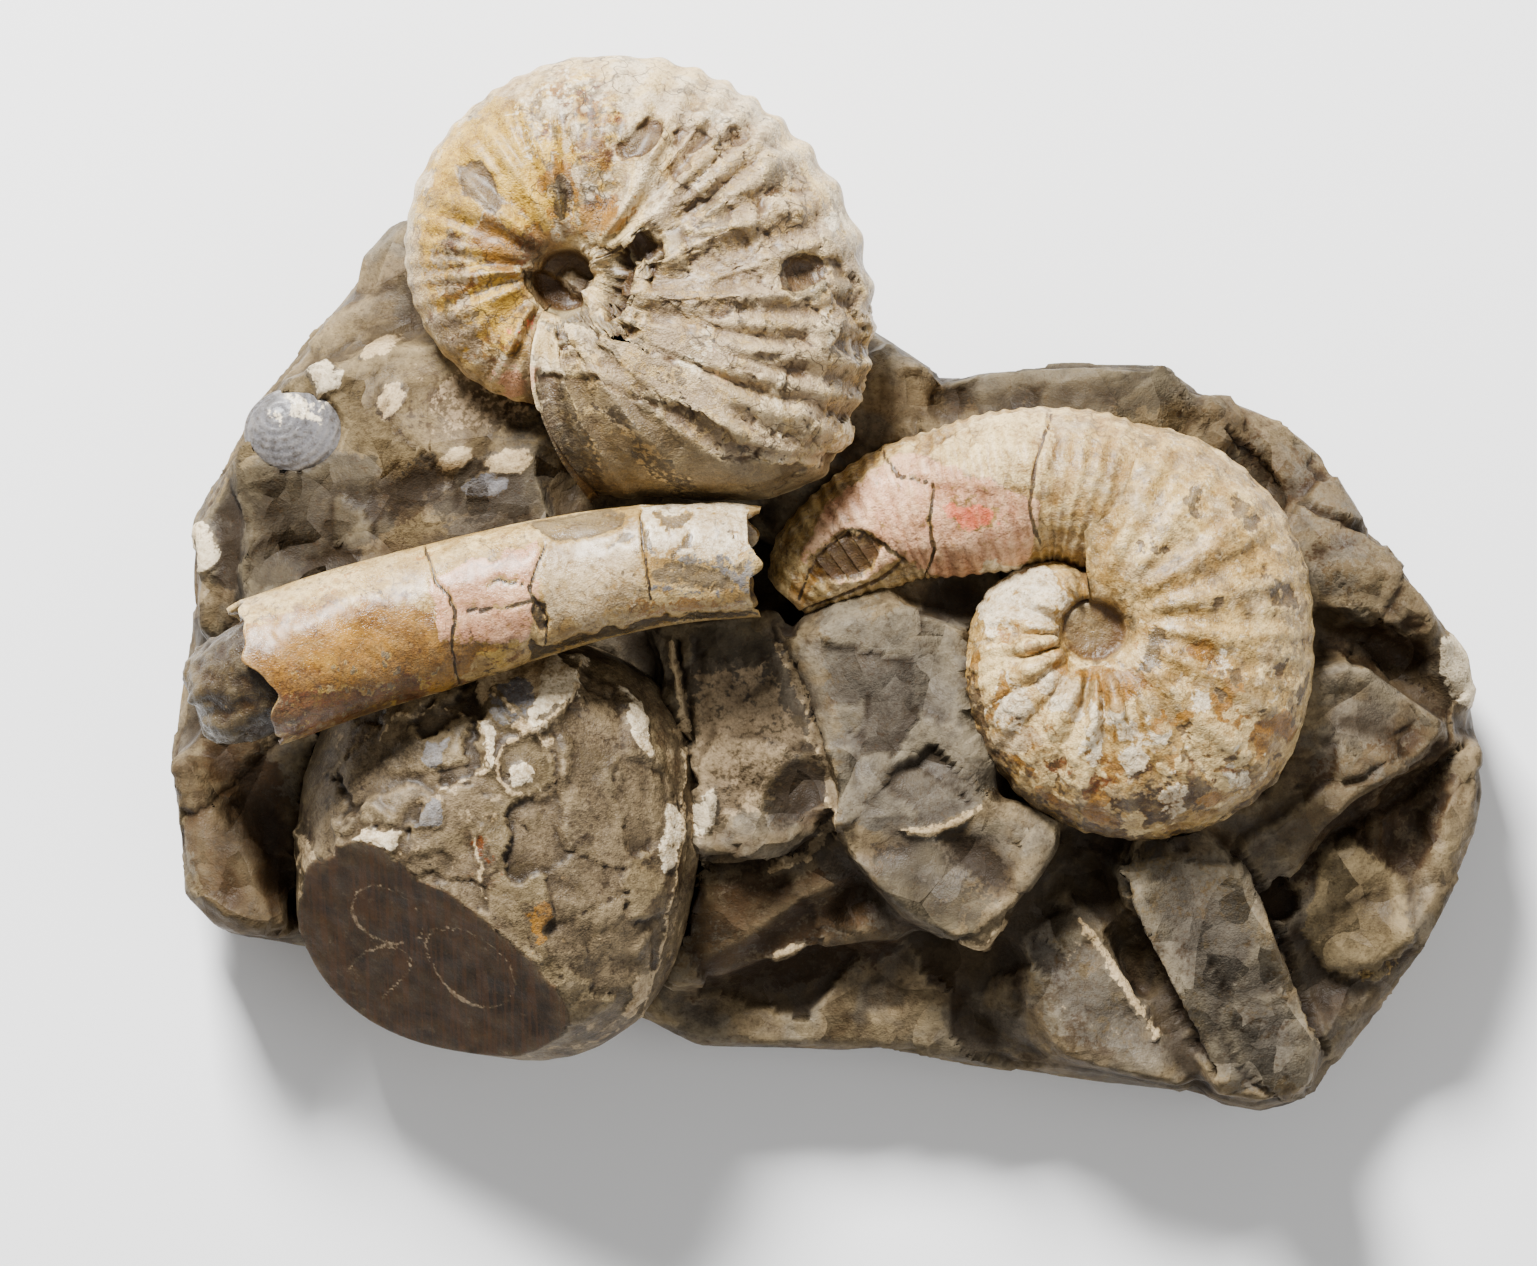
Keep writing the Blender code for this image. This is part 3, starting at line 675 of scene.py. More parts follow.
ROCK_CHIPS = [
    ("white", 0.45, [(-41.4, 17), (-39.9, 18), (-38.2, 17.2), (-38.8, 15.8), (-40.4, 15.3)]),
    ("pearl", 0.3, oval(-35.3, 19.1, 2, 0.7, 30)),
    ("pearl", 0.3, oval(-34.7, 14.8, 0.9, 1.6, -20)),
    ("pearl", 0.4, oval(-29.5, 10.2, 1.6, 0.8, 20)),
    ("pearl", 0.4, oval(-25.1, 10, 2, 1, 10)),
    ("blue", 0.2, oval(-27.1, 8, 1.8, 0.9, 10)),
    ("white", 0.5, [(-50.5, 5.2), (-48.9, 4.4), (-48.4, 2), (-49.9, 1)]),
    ("white", 0.4, oval(-9.2, -18.2, 0.7, 1.7, -15)),
    ("white", 0.3, [(49.6, -4.4), (51.1, -3), (52.5, -7.6), (52.2, -10.2), (50.6, -9.2), (49.3, -6.8)]),
    ("dark", -1.6, oval(36.9, -25.2, 1, 1.8, 20)),
    ("olive", 0.6, [(39.9, -21.2), (42.1, -20.2), (46.3, -23.6), (47.1, -28.4), (44.9, -32),
        (40.5, -31.2), (38.1, -27.6), (39.3, -24.4)]),
    ("pearl", 0.3, oval(-2.7, -29.6, 1.6, 0.5, 25)),
]


# The ammonites.

def through(stops, at):
    """Smooth curve through (place, value) stops, read at many places."""
    places, values = np.array(stops, float).T
    slopes = np.gradient(values, places)
    i = np.clip(np.searchsorted(places, at) - 1, 0, len(places) - 2)
    span = places[i + 1] - places[i]
    t = (at - places[i]) / span
    return (
        values[i] * (2 * t**3 - 3 * t**2 + 1) + values[i + 1] * (3 * t**2 - 2 * t**3)
        + span * (slopes[i] * (t**3 - 2 * t**2 + t) + slopes[i + 1] * (t**3 - t**2))
    )


UPPER = {
    "centre": (-20.6, 24.5, 23.5), "start": 235.5, "direction": -1, "umbilicus": 2.4, "floor": 1.6,
    "shears": (2.7, 0.8),
    "turn": [
        (0, 10.2, 4.6), (0.09, 11.3, 4.9), (0.18, 12.7, 5.3), (0.31, 14.9, 6.2), (0.438, 17.6, 7.3),
        (0.57, 20.6, 8.4), (0.703, 24.1, 9.4), (0.78, 25.4, 9.9), (0.825, 25.7, 10), (0.853, 23.4, 9.8),
        (0.873, 21, 9.6), (0.90, 19.2, 9.2), (0.935, 18.1, 8.6), (1, 17.5, 8.2),
    ],
}
LOWER = {
    "centre": (21.8, -3.7, 20), "start": 100, "direction": 1, "umbilicus": 2.6, "floor": 3.2,
    "shears": (0.6, 0.4),
    "turn": [
        (0, 5.1, 4.3), (0.061, 6.6, 4.5), (0.146, 8.2, 4.8), (0.25, 10.5, 5.3), (0.36, 12.9, 5.9),
        (0.459, 15.5, 6.6), (0.553, 17.8, 7.4), (0.632, 18.9, 7.8), (0.679, 18.4, 7.8),
        (0.731, 17.8, 7.7), (0.80, 18, 7.7), (0.90, 17.7, 7.4), (0.95, 17.3, 6.9), (1, 16.4, 5.2),
    ],
}


# A whorl's flank: how square it is, and how deep and wide it dips beside the umbilicus.
FLANK_POWER = 2.9
DIP_DEPTH = 0.3
DIP_WIDTH = 0.09
UMBILICUS_RINGS = 9
UPPER_RINGS = 104
UNDER_RINGS = 22


def flank_height(t):
    return math.sqrt(max(0, 1 - t**FLANK_POWER)) * (1 - DIP_DEPTH * math.exp(-t / DIP_WIDTH))


def coil(shell, columns, ornament):
    """One turn of a coiled shell: rings of the umbilicus, the upper flank, the rim and the lower flank."""
    share = np.linspace(0, 1, columns)
    rim = through([(s, r) for s, r, _ in shell["turn"]], share)
    half = through([(s, h) for s, _, h in shell["turn"]], share)
    seam_shear, rib_shear = shell["shears"]
    lean = rib_shear + (seam_shear - rib_shear) * np.abs(2 * share - 1) ** 6
    centre = np.array(shell["centre"])
    hole = shell["umbilicus"]

    def ring(radius, height):
        angle = np.radians(shell["start"] + shell["direction"] * (360 * share - lean * (radius - hole)))
        radius = np.broadcast_to(radius, share.shape)
        return centre + np.stack([radius * np.cos(angle), radius * np.sin(angle), height], axis=1)

    rings = []
    for out in np.arange(1, UMBILICUS_RINGS) / UMBILICUS_RINGS:
        rings.append(ring(hole * out, np.full(columns, shell["floor"] + 0.5 * out**2)))
    for t in np.sin(0.5 * math.pi * np.linspace(0, 1, UPPER_RINGS)):
        height = half * flank_height(t)
        raised = ornament(share, np.full(columns, t), rim)
        radius = hole + (rim - hole) * t + 0.6 * raised * t**6
        rings.append(ring(radius, np.maximum(height + raised * (1 - t**6) * min(1, (1 - t) * 12), 0)))
    for t in np.sin(0.5 * math.pi * np.linspace(0.97, 0.02, UNDER_RINGS)):
        rings.append(ring(hole + (rim - hole) * t, -half * flank_height(t)))
    return closed_grid(np.array(rings), centre + (0, 0, shell["floor"]), centre - (0, 0, shell["floor"]))


def ridge(phase, sharpness=1.4):
    """A rounded rib once a turn of phase: 1 on its crest, 0 between ribs."""
    return (0.5 + 0.5 * np.cos(2 * math.pi * phase)) ** sharpness


def upper_ornament(share, t, rim):
    """Bold ribs near the middle that split towards the rim, and a row of knobs on the outer shoulder."""
    sway = 0.10 * np.sin(math.pi * t)
    uneven = 0.14 * np.sin(2 * math.pi * share * 5.3)
    grown_part = smooth(share, 0.42, 0.6)
    strength = 0.75 + 0.35 * np.sin(2 * math.pi * (share * 7.7 + 0.3 * t))
    primary = ridge(17 * share + uneven + sway * 2, 1.0) * strength
    primary *= smooth(t, 0.04, 0.2) * (1 - smooth(t, 0.5, 0.8))
    split = ridge(40 * share + uneven * 2 + sway * 3, 1.1) * smooth(t, 0.35, 0.65) * (0.7 + grown_part)
    knobs = ridge(23 * share, 5) * np.exp(-((t - 0.83) / 0.05) ** 2) * smooth(share, 0.5, 0.62)
    inner = ridge(17 * share, 4) * np.exp(-((t - 0.3) / 0.08) ** 2) * 0.6
    mould = smooth(share, 0.82, 0.88)
    grown = 0.35 + 0.65 * rim / 25.0
    ribs = (1.15 * primary + 0.5 * split + 1.0 * knobs + inner * 0.3) * (1 - 0.8 * mould)
    folds = ridge(16 * share + sway, 1.0) * 0.9 * mould * smooth(t, 0.1, 0.4)
    return (ribs + folds) * grown


def lower_ornament(share, t, rim):
    """Broad low ribs on the mud cast, and short sharp ribs like a star on the inner turn."""
    sway = 0.12 * np.sin(math.pi * t)
    inner = 1 - smooth(share, 0.45, 0.6)
    broad = ridge(19 * share + sway * 2, 1.1) * smooth(t, 0.08, 0.3) * (1 - smooth(t, 0.75, 0.98))
    split = ridge(46 * share + sway * 3) * smooth(t, 0.5, 0.8)
    uneven = 0.3 * np.sin(2 * math.pi * share * 4.1)
    star = ridge(15 * share + uneven, 1.5) * smooth(t, 0.02, 0.12) * (1 - smooth(t, 0.35, 0.6)) * inner
    grown = 0.4 + 0.6 * rim / 18.0
    return (0.5 * broad + 0.22 * split + 0.95 * star) * grown


UPPER_FLAKED = [
    (-12, 38), (-5.5, 36.5), (0.5, 31), (4, 22), (3.5, 14), (0, 9), (-8, 10),
    (-15, 14.5), (-20.5, 16.5), (-21.5, 19), (-17, 21.5), (-15.5, 27), (-13, 31),
]
UPPER_MARKS = [
    ("yellow", 0, 0.9, [(-32.7, 30.8), (-30.7, 35.6), (-25.9, 39.2), (-21.1, 38), (-19.9, 32.4),
        (-21.9, 27.6), (-25.9, 25.2), (-30.7, 22.8), (-32.3, 25.2)]),
    ("white", 0, 0.4, [(-25.5, 38.8), (-21.1, 40.8), (-17.9, 41.2), (-18.7, 38), (-21.1, 34.8),
        (-23.5, 34)]),
    ("orange", 0, 0.9, [(-26.7, 29.6), (-22.7, 28.8), (-21.1, 27.2), (-22.7, 25.8), (-23.5, 22.8),
        (-26.7, 25.2), (-28.3, 27.6)]),
    ("orange", 0, 0.8, oval(-21.1, 31.6, 1.3, 3.4, 10)),
    ("orange", 0, 0.8, oval(-17.5, 29.6, 2.4, 1.6, 30)),
    ("mud", -0.2, 0.9, [(-29.5, 33.6), (-27.5, 34), (-25.5, 30.8), (-26.3, 29.6), (-28.9, 31.2)]),
    ("ash", 0, 0.5, oval(-29.7, 25.4, 2.2, 2.6)),
    ("slate", -0.15, 0.8, oval(-21, 31, 0.8, 1.9, 5)),
    ("rust", 0, 0.7, oval(-23.4, 26.8, 1.8, 0.9, -45)),
    ("rust", 0, 0.7, oval(-24.2, 21.2, 1.3, 0.6, 20)),
    ("yellow", 0, 0.7, oval(-25.9, 22, 2.6, 2.8)),
    ("ash", 0, 0.7, oval(-29.5, 20.4, 2.6, 1.6, -30)),
    ("white", 0.15, 1, [(-11.5, 38), (-8.3, 38), (-4.3, 34.8), (-5.1, 31.6), (-9.9, 30.8),
        (-11.5, 33.2)]),
    ("ash", 0, 0.85, [(-10.7, 30), (-1.9, 31.6), (2.9, 26.8), (3.6, 16.4), (2.1, 12.4), (-5.1, 11.6),
        (-14.7, 14.8), (-17.9, 19.6), (-13.1, 22.8)]),
    ("white", 0.25, 0.8, [(-4.7, 31.2), (-0.7, 31.6), (1.2, 28), (-1.9, 26), (-4.3, 27.6)]),
    ("mud", -0.35, 0.9, [(-11.5, 28.2), (-6.3, 28.6), (-5.1, 25.8), (-8.3, 24.8), (-10.7, 25.8)]),
    ("pink", 0, 0.6, [(-14.7, 20.4), (-8.3, 19.2), (-7.5, 14.8), (-14.7, 15.2), (-17.9, 17.2)]),
    ("olive", -0.45, 1, [(-22.8, 17), (-17.9, 16.6), (-13.9, 14.6), (-9.9, 13.8), (-6.8, 11.4),
        (-2.7, 10.4), (1.5, 10.6), (2.1, 8.4), (-1.9, 5.2),
                       (-21.1, 5.2), (-23.1, 10.8)]),
    ("slate", 0, 0.9, [(-22.8, 17), (-20.6, 15.6), (-18.8, 12), (-17.6, 7), (-21.5, 6), (-23.1, 10.8)]),
    ("slate", 0, 0.7, [(-17, 14.8), (-14, 11.8), (-10.2, 7.2), (-12, 6.4), (-15.8, 10.2), (-18.4, 14)]),
]
UPPER_STAINED = [
    (-32.7, 26.8), (-30.7, 33.2), (-25.9, 38.8), (-18.7, 41.6), (-14.7, 38), (-16.3, 28.4), (-21.1, 26.8),
    (-23.5, 20.4), (-24.3, 16.4), (-28.3, 17.2), (-32.3, 20.4),
]
UPPER_RUBBLE = [
    (-18.7, 26.8), (-14.7, 28.4), (-12.7, 27.6), (-13.1, 25.2), (-13.9, 21.4), (-15.9, 19.6),
        (-19.1, 18.4),
    (-22, 19), (-22.7, 21.2), (-20.5, 21.6), (-18.4, 22.4), (-17.9, 24.6),
]
UPPER_HOLES = [
    ("dark", -1.5, 1, [(-17.4, 25.8), (-14.7, 27.8), (-12.8, 27.9), (-13.1, 26.3), (-15.3, 24.7),
        (-16.1, 21.8), (-17.4, 21.2), (-18.2, 23.6)]),
    ("dark", -0.4, 0.9, oval(-21.1, 22.8, 3.4, 1.3, -40)),
    ("mud", -0.6, 1, oval(-14.5, 35.8, 2.3, 1, 40)),
    ("dark", -0.3, 1, oval(-1.4, 24.7, 1.9, 1.9)),
    ("olive", -0.5, 1, oval(-1.4, 24.7, 1.25, 1.35)),
    ("white", 0.6, 1, [(-21.1, 24.6), (-20.1, 25.4), (-18.4, 24.1), (-18.8, 22.8), (-20.1, 23.3)]),
    ("red", 0, 0.8, oval(-23.9, 20.6, 0.5, 0.9)),
    ("pink", 0, 0.8, oval(-24.7, 16.6, 1.4, 1.2)),
]
LOWER_STAINED = [
    (11.7, -4.4), (14.9, -14), (18.9, -18.8), (26.1, -20.4), (34.1, -17.2), (38.1, -9.2), (33.3, -10.8),
    (26.1, -14), (20.5, -11.6), (14.9, -8.4),
]
LOWER_MARKS = [
    ("cream", 0.2, 0.9, [(10.9, 12.4), (17.3, 14.4), (18.6, 11.6), (17.3, 7.6), (12.5, 7.6), (6.1, 8.4)]),
    ("pink", 0.15, 0.85, [(-1.9, 2), (0.5, 6.8), (6.1, 10.8), (10.9, 9.2), (17.3, 6.8), (16.5, 2),
        (13.3, -1.2), (6.1, 2), (1.3, -0.4)]),
    ("white", 0.1, 0.8, [(12.9, 2), (17.7, 1.6), (20.1, -1.2), (18.9, -4.4), (16.5, -6), (13.3, -4.4),
        (12.1, -1.2)]),
    ("pearl", 0.1, 0.8, [(12.1, -4.4), (18.9, -5.2), (20.9, -9.2), (18.1, -14.8), (14.1, -14),
        (12.1, -9.2)]),
    ("white", 0.15, 0.9, oval(19.6, -11.4, 1.6, 2.6, 20)),
    ("white", 0.15, 0.9, oval(16.4, -8.4, 2.2, 1.8, 40)),
    ("white", 0.15, 0.8, oval(23.1, -9.2, 1, 2.4, -10)),
    ("orange", 0, 0.8, oval(12.1, -8.4, 0.9, 2.4, -10)),
    ("orange", 0, 0.8, oval(14.8, -4.4, 1.4, 0.9, 20)),
    ("brown", 0, 0.8, oval(27.3, -17.2, 4.4, 1.8, 10)),
    ("brown", 0, 0.7, oval(16.5, -16.4, 2, 1.3, -30)),
    ("white", 0.1, 0.7, oval(31.3, -10.8, 3, 1.2, -50)),
    ("red", 0, 0.9, oval(12.1, 5.8, 2, 0.9, -20)),
    ("brown", -0.7, 1, oval(1.7, 2.3, 3, 2, 25)),
    ("orange", 0, 0.9, oval(-1.9, -1.2, 1, 2.4, -25)),
]
LOWER_RIM = [
    (11.7, -7), (12.6, -12), (15.2, -16.2), (19.6, -19.4), (26, -20.8), (32, -19.4), (36.6, -15.4),
]
LOWER_HOLES = [("olive", 0, 1, oval(21.7, -3.6, 2.7, 2.6))]
SHAFT_STAINED = [(-3.5, -1.2), (-1.9, -3.6), (6.1, -1.2), (17.3, 2), (16.5, 4.4), (10.9, 2.4), (4.5, 0.4)]
SHAFT_CRACKS = [
    [(18.3, 14), (16.9, 9.2), (16.5, 6.4), (17.3, 3.2)],
    [(8.9, 8), (8.5, 5.2), (8.9, 2.8), (8.1, 0.8)],
    [(-1.9, -1.2), (-0.7, 2.4), (2.1, 4.4), (4.9, 3.2), (6.5, 2), (4.5, 0.4), (0.5, -1.2), (-1.9, -2.2)],
    [(3.7, 13.2), (4.5, 10.8), (6.1, 8.6), (8.9, 8)],
]


def build_upper():
    points, faces = coil(UPPER, 600, upper_ornament)
    shell, faces = shaped(points, faces, 4)
    shell.facing = smooth(points[:, 2], UPPER["centre"][2] - 3, UPPER["centre"][2] + 1)
    shell.lift(lumps(points, 3.0, 13, 5) * 0.1)
    shell.mask("stained", UPPER_STAINED)
    for tone, lift, strength, outline in UPPER_MARKS:
        shell.patch(tone, outline, lift=lift, strength=strength, ragged=0.5 if lift >= 0 else 0.25)
    shell.plates(UPPER_FLAKED, 4.5, 0.3, 11, joint=0.035, low="mud", high="white")
    shell.plates(UPPER_FLAKED, 2.0, 0.12, 12, joint=0.04, low="ash", high="pearl")
    shell.plates(UPPER_RUBBLE, 1.4, 0.7, 38, joint=0.12, low="dark", high="ash")
    shell.marks(UPPER_HOLES, ragged=0.3)
    finish = weathered(
        "cream_shell", "cream",
        ["yellow", "ash", "pearl", "white", "pink", "orange", "rust", "red", "mud", "olive", "slate",
         "dark"],
        0.45, 0.45, 0.28, 0.25, crackle=0.8, grime_and_shade=(68, 52, 34),
        facets=[(3.4, 0.9, 0.3), (1.3, 0.25, 0)],
        marbling=[("white", 5.0, 0.4, 0.6), ("olive", 2.2, 0.2, 0.5), ("mud", 1.3, 0.2, 0.6),
                  ("white", 1.0, 0.1, 0.5), ("yellow", 3.5, 0.6, 0.9, "stained"),
                  ("orange", 2.4, 0.4, 0.9, "stained"),
                  ("olive", 1.6, 0.45, 0.8, "stained"), ("rust", 1.2, 0.25, 0.8, "stained"),
                  ("white", 2.0, 0.35, 0.7, "stained"), ("mud", 0.9, 0.1, 0.8, "stained")])
    return add_piece("upper_ammonite", shell, faces, "ammonite_upper", finish)


TUBE_SIDES = 120


def tube(line, columns):
    """Rings of a tube about (x, y, z, half height in the plane, half height across it) stops."""
    line = np.array(line, float)
    steps = np.r_[0, np.cumsum(np.linalg.norm(np.diff(line[:, :3], axis=0), axis=1))]
    at = np.linspace(0, steps[-1], columns)
    track = np.stack([through(list(zip(steps, line[:, k])), at) for k in range(5)], axis=1)
    along = np.gradient(track[:, :3], axis=0)
    along /= np.linalg.norm(along, axis=1)[:, None]
    side = np.cross(along, (0, 0, 1.0))
    side /= np.linalg.norm(side, axis=1)[:, None]
    up = np.cross(side, along)
    a = np.linspace(0, 2 * math.pi, TUBE_SIDES, endpoint=False)
    rings = (
        track[:, None, :3]
        + side[:, None, :] * np.cos(a)[None, :, None] * track[:, None, 3:4]
        + up[:, None, :] * np.sin(a)[None, :, None] * track[:, None, 4:5]
    )
    return rings, track, at


SHAFT_LINE = [
    (5, 9.4, 0, 4.9, 4.6), (1.2, 11, 0.2, 6.2, 6), (-3, 11.9, 0.2, 6.1, 6),
    (-7.2, 11.4, 0, 6.3, 5.9), (-11.2, 10.5, -0.3, 6, 5.6), (-15.3, 9.6, -0.7, 5.5, 5),
    (-19.2, 7.5, -1.1, 4.9, 4.4), (-22.6, 5, -1.5, 3.9, 3.6), (-24.6, 2.9, -1.9, 2.2, 2.4),
]


def build_shaft():
    line = [tuple(np.array(stop[:3]) + LOWER["centre"]) + stop[3:] for stop in SHAFT_LINE]
    rings, track, at = tube(line, 230)
    riblets = ridge(at / 1.15)[:, None] * 0.16
    out = rings - track[:, None, :3]
    rings = rings + out / np.linalg.norm(out, axis=2, keepdims=True) * riblets[..., None]
    points, faces = closed_grid(rings, track[0, :3], track[-1, :3])
    shell, faces = shaped(points, faces, 6)
    shell.lift(lumps(points, 2.6, 16, 4) * 0.18)
    shell.mask("stained", SHAFT_STAINED)
    shell.masks["stained"] = np.maximum(shell.masks["stained"], 0.5)
    shell.marks(LOWER_MARKS)
    for line in SHAFT_CRACKS:
        shell.stroke("dark", line, 0.2, lift=-0.2)
    return add_piece("lower_shaft", shell, faces, "ammonite_lower", PEARLY)


def build_lower():
    points, faces = coil(LOWER, 560, lower_ornament)
    shell, faces = shaped(points, faces, 5)
    shell.facing = smooth(points[:, 2], LOWER["centre"][2] - 3, LOWER["centre"][2] + 1)
    shell.lift(lumps(points, 3.2, 15, 5) * 0.2 + lumps(points, 0.9, 28, 3) * 0.05)
    shell.mask("stained", LOWER_STAINED)
    shell.marks(LOWER_MARKS)
    lower_half = oval(22.5, -12.0, 16, 9.5)
    shell.flakes("cream", lower_half, 4.0, 0.08, 0.4, 29, edge=0.1)
    shell.flakes("white", lower_half, 3.6, 0.06, 0.12, 18, strength=0.7)
    shell.flakes("orange", lower_half, 3.0, 0.0, 0.2, 37, edge=0.2, strength=0.8)
    shell.flakes("rust", oval(24.0, -17.5, 15, 4.5), 3.0, -0.06, 0.15, 19, edge=0.2, strength=0.5)
    shell.flakes("mud", oval(33.0, -2.0, 9, 14), 2.2, -0.1, 0.08, 30)
    shell.stroke("brown", LOWER_RIM, 1.3, strength=0.7, ragged=1.0)
    shell.marks(LOWER_HOLES, ragged=0.3)
    return add_piece("lower_ammonite", shell, faces, "ammonite_lower", PEARLY)


# The baculite.

BACULITE_LINE = [
    (-44.9, -7, 27.4, 6, 5.4), (-38, -4.6, 27.2, 5.95, 5.3), (-30.7, -2.5, 27, 5.8, 5.1),
    (-24, -0.6, 26.9, 5.5, 4.9), (-17.6, 0.9, 26.8, 5.15, 4.7), (-11.5, 1.7, 26.7, 4.8, 4.5),
    (-5.9, 1.9, 26.6, 4.5, 4.3),
]
# The dark mud core at the left end, from its tip: place, and its share of the shell's width.
STUB_LINE = [
    (-50.1, -9.6, 25.9, 0.40), (-49.4, -9.3, 26, 0.58), (-48.2, -8.7, 26.3, 0.70),
    (-46.8, -8.1, 26.7, 0.74), (-45.4, -7.4, 27.1, 0.78), (-44.4, -6.9, 27.2, 0.80),
]
BACULITE_MARKS = [
    ("orange", 0, 0.95, [(-47.6, -4.4), (-41.9, -1.6), (-35.5, -0.8), (-30.7, -1.8), (-26.3, -4.4),
        (-29.9, -9.2), (-39.5, -12.8), (-45.1, -12.8)]),
    ("rust", 0, 0.9, [(-45.5, -9.2), (-39.5, -8.4), (-32.3, -7.6), (-31.5, -9.6), (-39.5, -12),
        (-44.3, -12.4)]),
    ("orange", 0, 0.3, [(-47.1, -1.2), (-38.7, 2), (-30.7, 4), (-29.9, 1.2), (-35.5, -0.4),
        (-45.1, -3.6)]),
    ("pink", 0.1, 0.8, [(-31.5, 0.4), (-22.7, 3.6), (-22.3, -1.2), (-23.5, -4.4), (-30.7, -4.4)]),
    ("pearl", 0, 0.8, [(-22.3, 3.2), (-14.7, 5.2), (-13.9, -2), (-21.9, -3.6)]),
    ("mud", -0.2, 0.95, [(-23.6, 4.9), (-19.5, 6.2), (-15.9, 6), (-16.4, 4.4), (-21.1, 3.6)]),
    ("white", 0.15, 0.9, [(-14.7, 6.4), (-6.3, 6.8), (-5.1, 3.6), (-6.7, 1.2), (-13.9, 2)]),
    ("blue", 0, 0.7, [(-13.9, 2), (-5.5, 2.4), (-4.9, -1.2), (-13.1, -1.2)]),
    ("mud", -0.1, 0.8, oval(-10.7, 0.6, 3.2, 0.9, -5)),
    ("orange", 0, 0.7, oval(-10.7, -1.7, 5, 0.6, 5)),
    # Painted shade: a slate band along the underside and a dark notch in the middle crack, partly broken
    # shell showing the dark inside, partly painted shade beneath the tube.
    ("slate", -0.3, 0.9, [(-23.6, -3.6), (-22.4, -5), (-20, -4.2), (-14, -2.9), (-9, -2.1),
        (-4.8, -2.4), (-4.8, -4.6), (-14, -5.4), (-22, -7.6), (-23.8, -6.4)]),
    ("slate", -0.4, 0.9, oval(-22.7, -2.6, 0.5, 1.2, 10)),
]
BACULITE_STAINED = [
    (-48, -4.4), (-41.9, -1.2), (-33.5, 0), (-30.7, -2.8), (-24.5, -4.4), (-23, -7), (-29.9, -9.6),
    (-39.5, -13.2), (-46, -13.6),
]
BACULITE_CRACKS = [
    [(-31.9, 3.2), (-31.2, 0.8), (-29.5, -2), (-29.7, -5.2), (-29.1, -8.4)],
    [(-22.3, 3.2), (-23.5, -0.4), (-22, -2.8), (-22.3, -4.8)],
    [(-14.7, 6), (-14.4, 2.8), (-13.7, -1.2)],
    [(-28.3, -0.4), (-25.9, 0.4), (-23.5, -0.2)], [(-29.5, -2.2), (-25.9, -1.8), (-23.2, -1.2)],
]


def build_baculite():
    rings, track, at = tube(BACULITE_LINE, 330)
    turn = np.linspace(0, 2 * math.pi, TUBE_SIDES, endpoint=False)
    rings[-1][:, 0] += np.sin(turn * 5) * 0.7 + np.sin(turn * 9 + 1) * 0.4
    ragged_end = np.sin(turn * 4) * 0.5 + np.sin(turn * 7 + 2) * 0.35 + np.sin(turn * 15) * 0.15
    for k in range(8):
        rings[k] -= np.array((1.0, 0.3, 0)) * (ragged_end * (1 - k / 8))[:, None]
    mouth = rings[0] - track[0, :3]
    inner = [track[0, :3] + mouth * s + (d, d * 0.3, 0) for s, d in ((0.93, 0.0), (0.9, 0.8))]
    stub = [np.array(stop[:3]) + mouth * stop[3] for stop in STUB_LINE]
    fine_stub = []
    for a, b in zip(stub, stub[1:]):
        fine_stub += [a + (b - a) * k / 5 for k in range(5)]
    fine_stub += [stub[-1]] + inner[::-1]
    far_mouth = rings[-1] - track[-1, :3]
    steps_in = ((0.88, 0.1), (0.84, 0.9), (0.5, 1.2))
    hollow = [track[-1, :3] + far_mouth * s - (d, 0, 0) for s, d in steps_in]
    all_rings = np.array(fine_stub + list(rings) + hollow)
    stub_count = (len(fine_stub) - 2) * TUBE_SIDES
    points, faces = closed_grid(all_rings, all_rings[0].mean(axis=0), all_rings[-1].mean(axis=0))
    shell, faces = shaped(points, faces, 7)
    shell.lift(lumps(points, 4.0, 21, 4) * 0.22)
    shell.marks(BACULITE_MARKS)
    for line in BACULITE_CRACKS:
        shell.stroke("dark", line, 0.16, lift=-0.25)
    shell.flakes("mud", oval(-38.7, -9.2, 9, 3.5, 15), 0.9, 0.0, 0.08, 23)
    shell.flakes("mud", oval(-11.5, 2.0, 6, 4, 5), 2.0, -0.1, 0.15, 24)
    is_stub = np.zeros(len(points))
    is_stub[:stub_count] = 1.0
    is_stub[-2] = 1.0
    shell.mask("stained", BACULITE_STAINED)
    shell.masks["stained"] *= 1 - is_stub
    rough = lumps(points, 1.8, 22, 4)
    shell.points += shell.normals * (is_stub * rough * 0.3)[:, None]
    for tone, share in shell.tones.items():
        shell.tones[tone] = share * (1 - is_stub) + (is_stub if tone in ("slate", "dark") else 0)
    finish = weathered(
        "tan_shell", "tan",
        ["cream", "orange", "rust", "pink", "pearl", "white", "blue", "mud", "slate", "dark"],
        0.36, 0.45, 0.18, 0.45, crackle=0.5, wear_and_highlight=0.15, facets=[(3.4, 0.35, 0.25), (1.2, 0.1, 0)],
        marbling=[("cream", 4.0, 0.5, 0.7), ("orange", 2.5, 0.1, 0.5), ("mud", 0.8, 0.08, 0.7),
                  ("yellow", 3.0, 0.4, 0.7, "stained"), ("rust", 1.6, 0.35, 0.9, "stained"),
                  ("brown", 0.8, 0.14, 0.8, "stained")])
    return add_piece("baculite_shell", shell, faces, "baculite", finish)


# The mud cast.

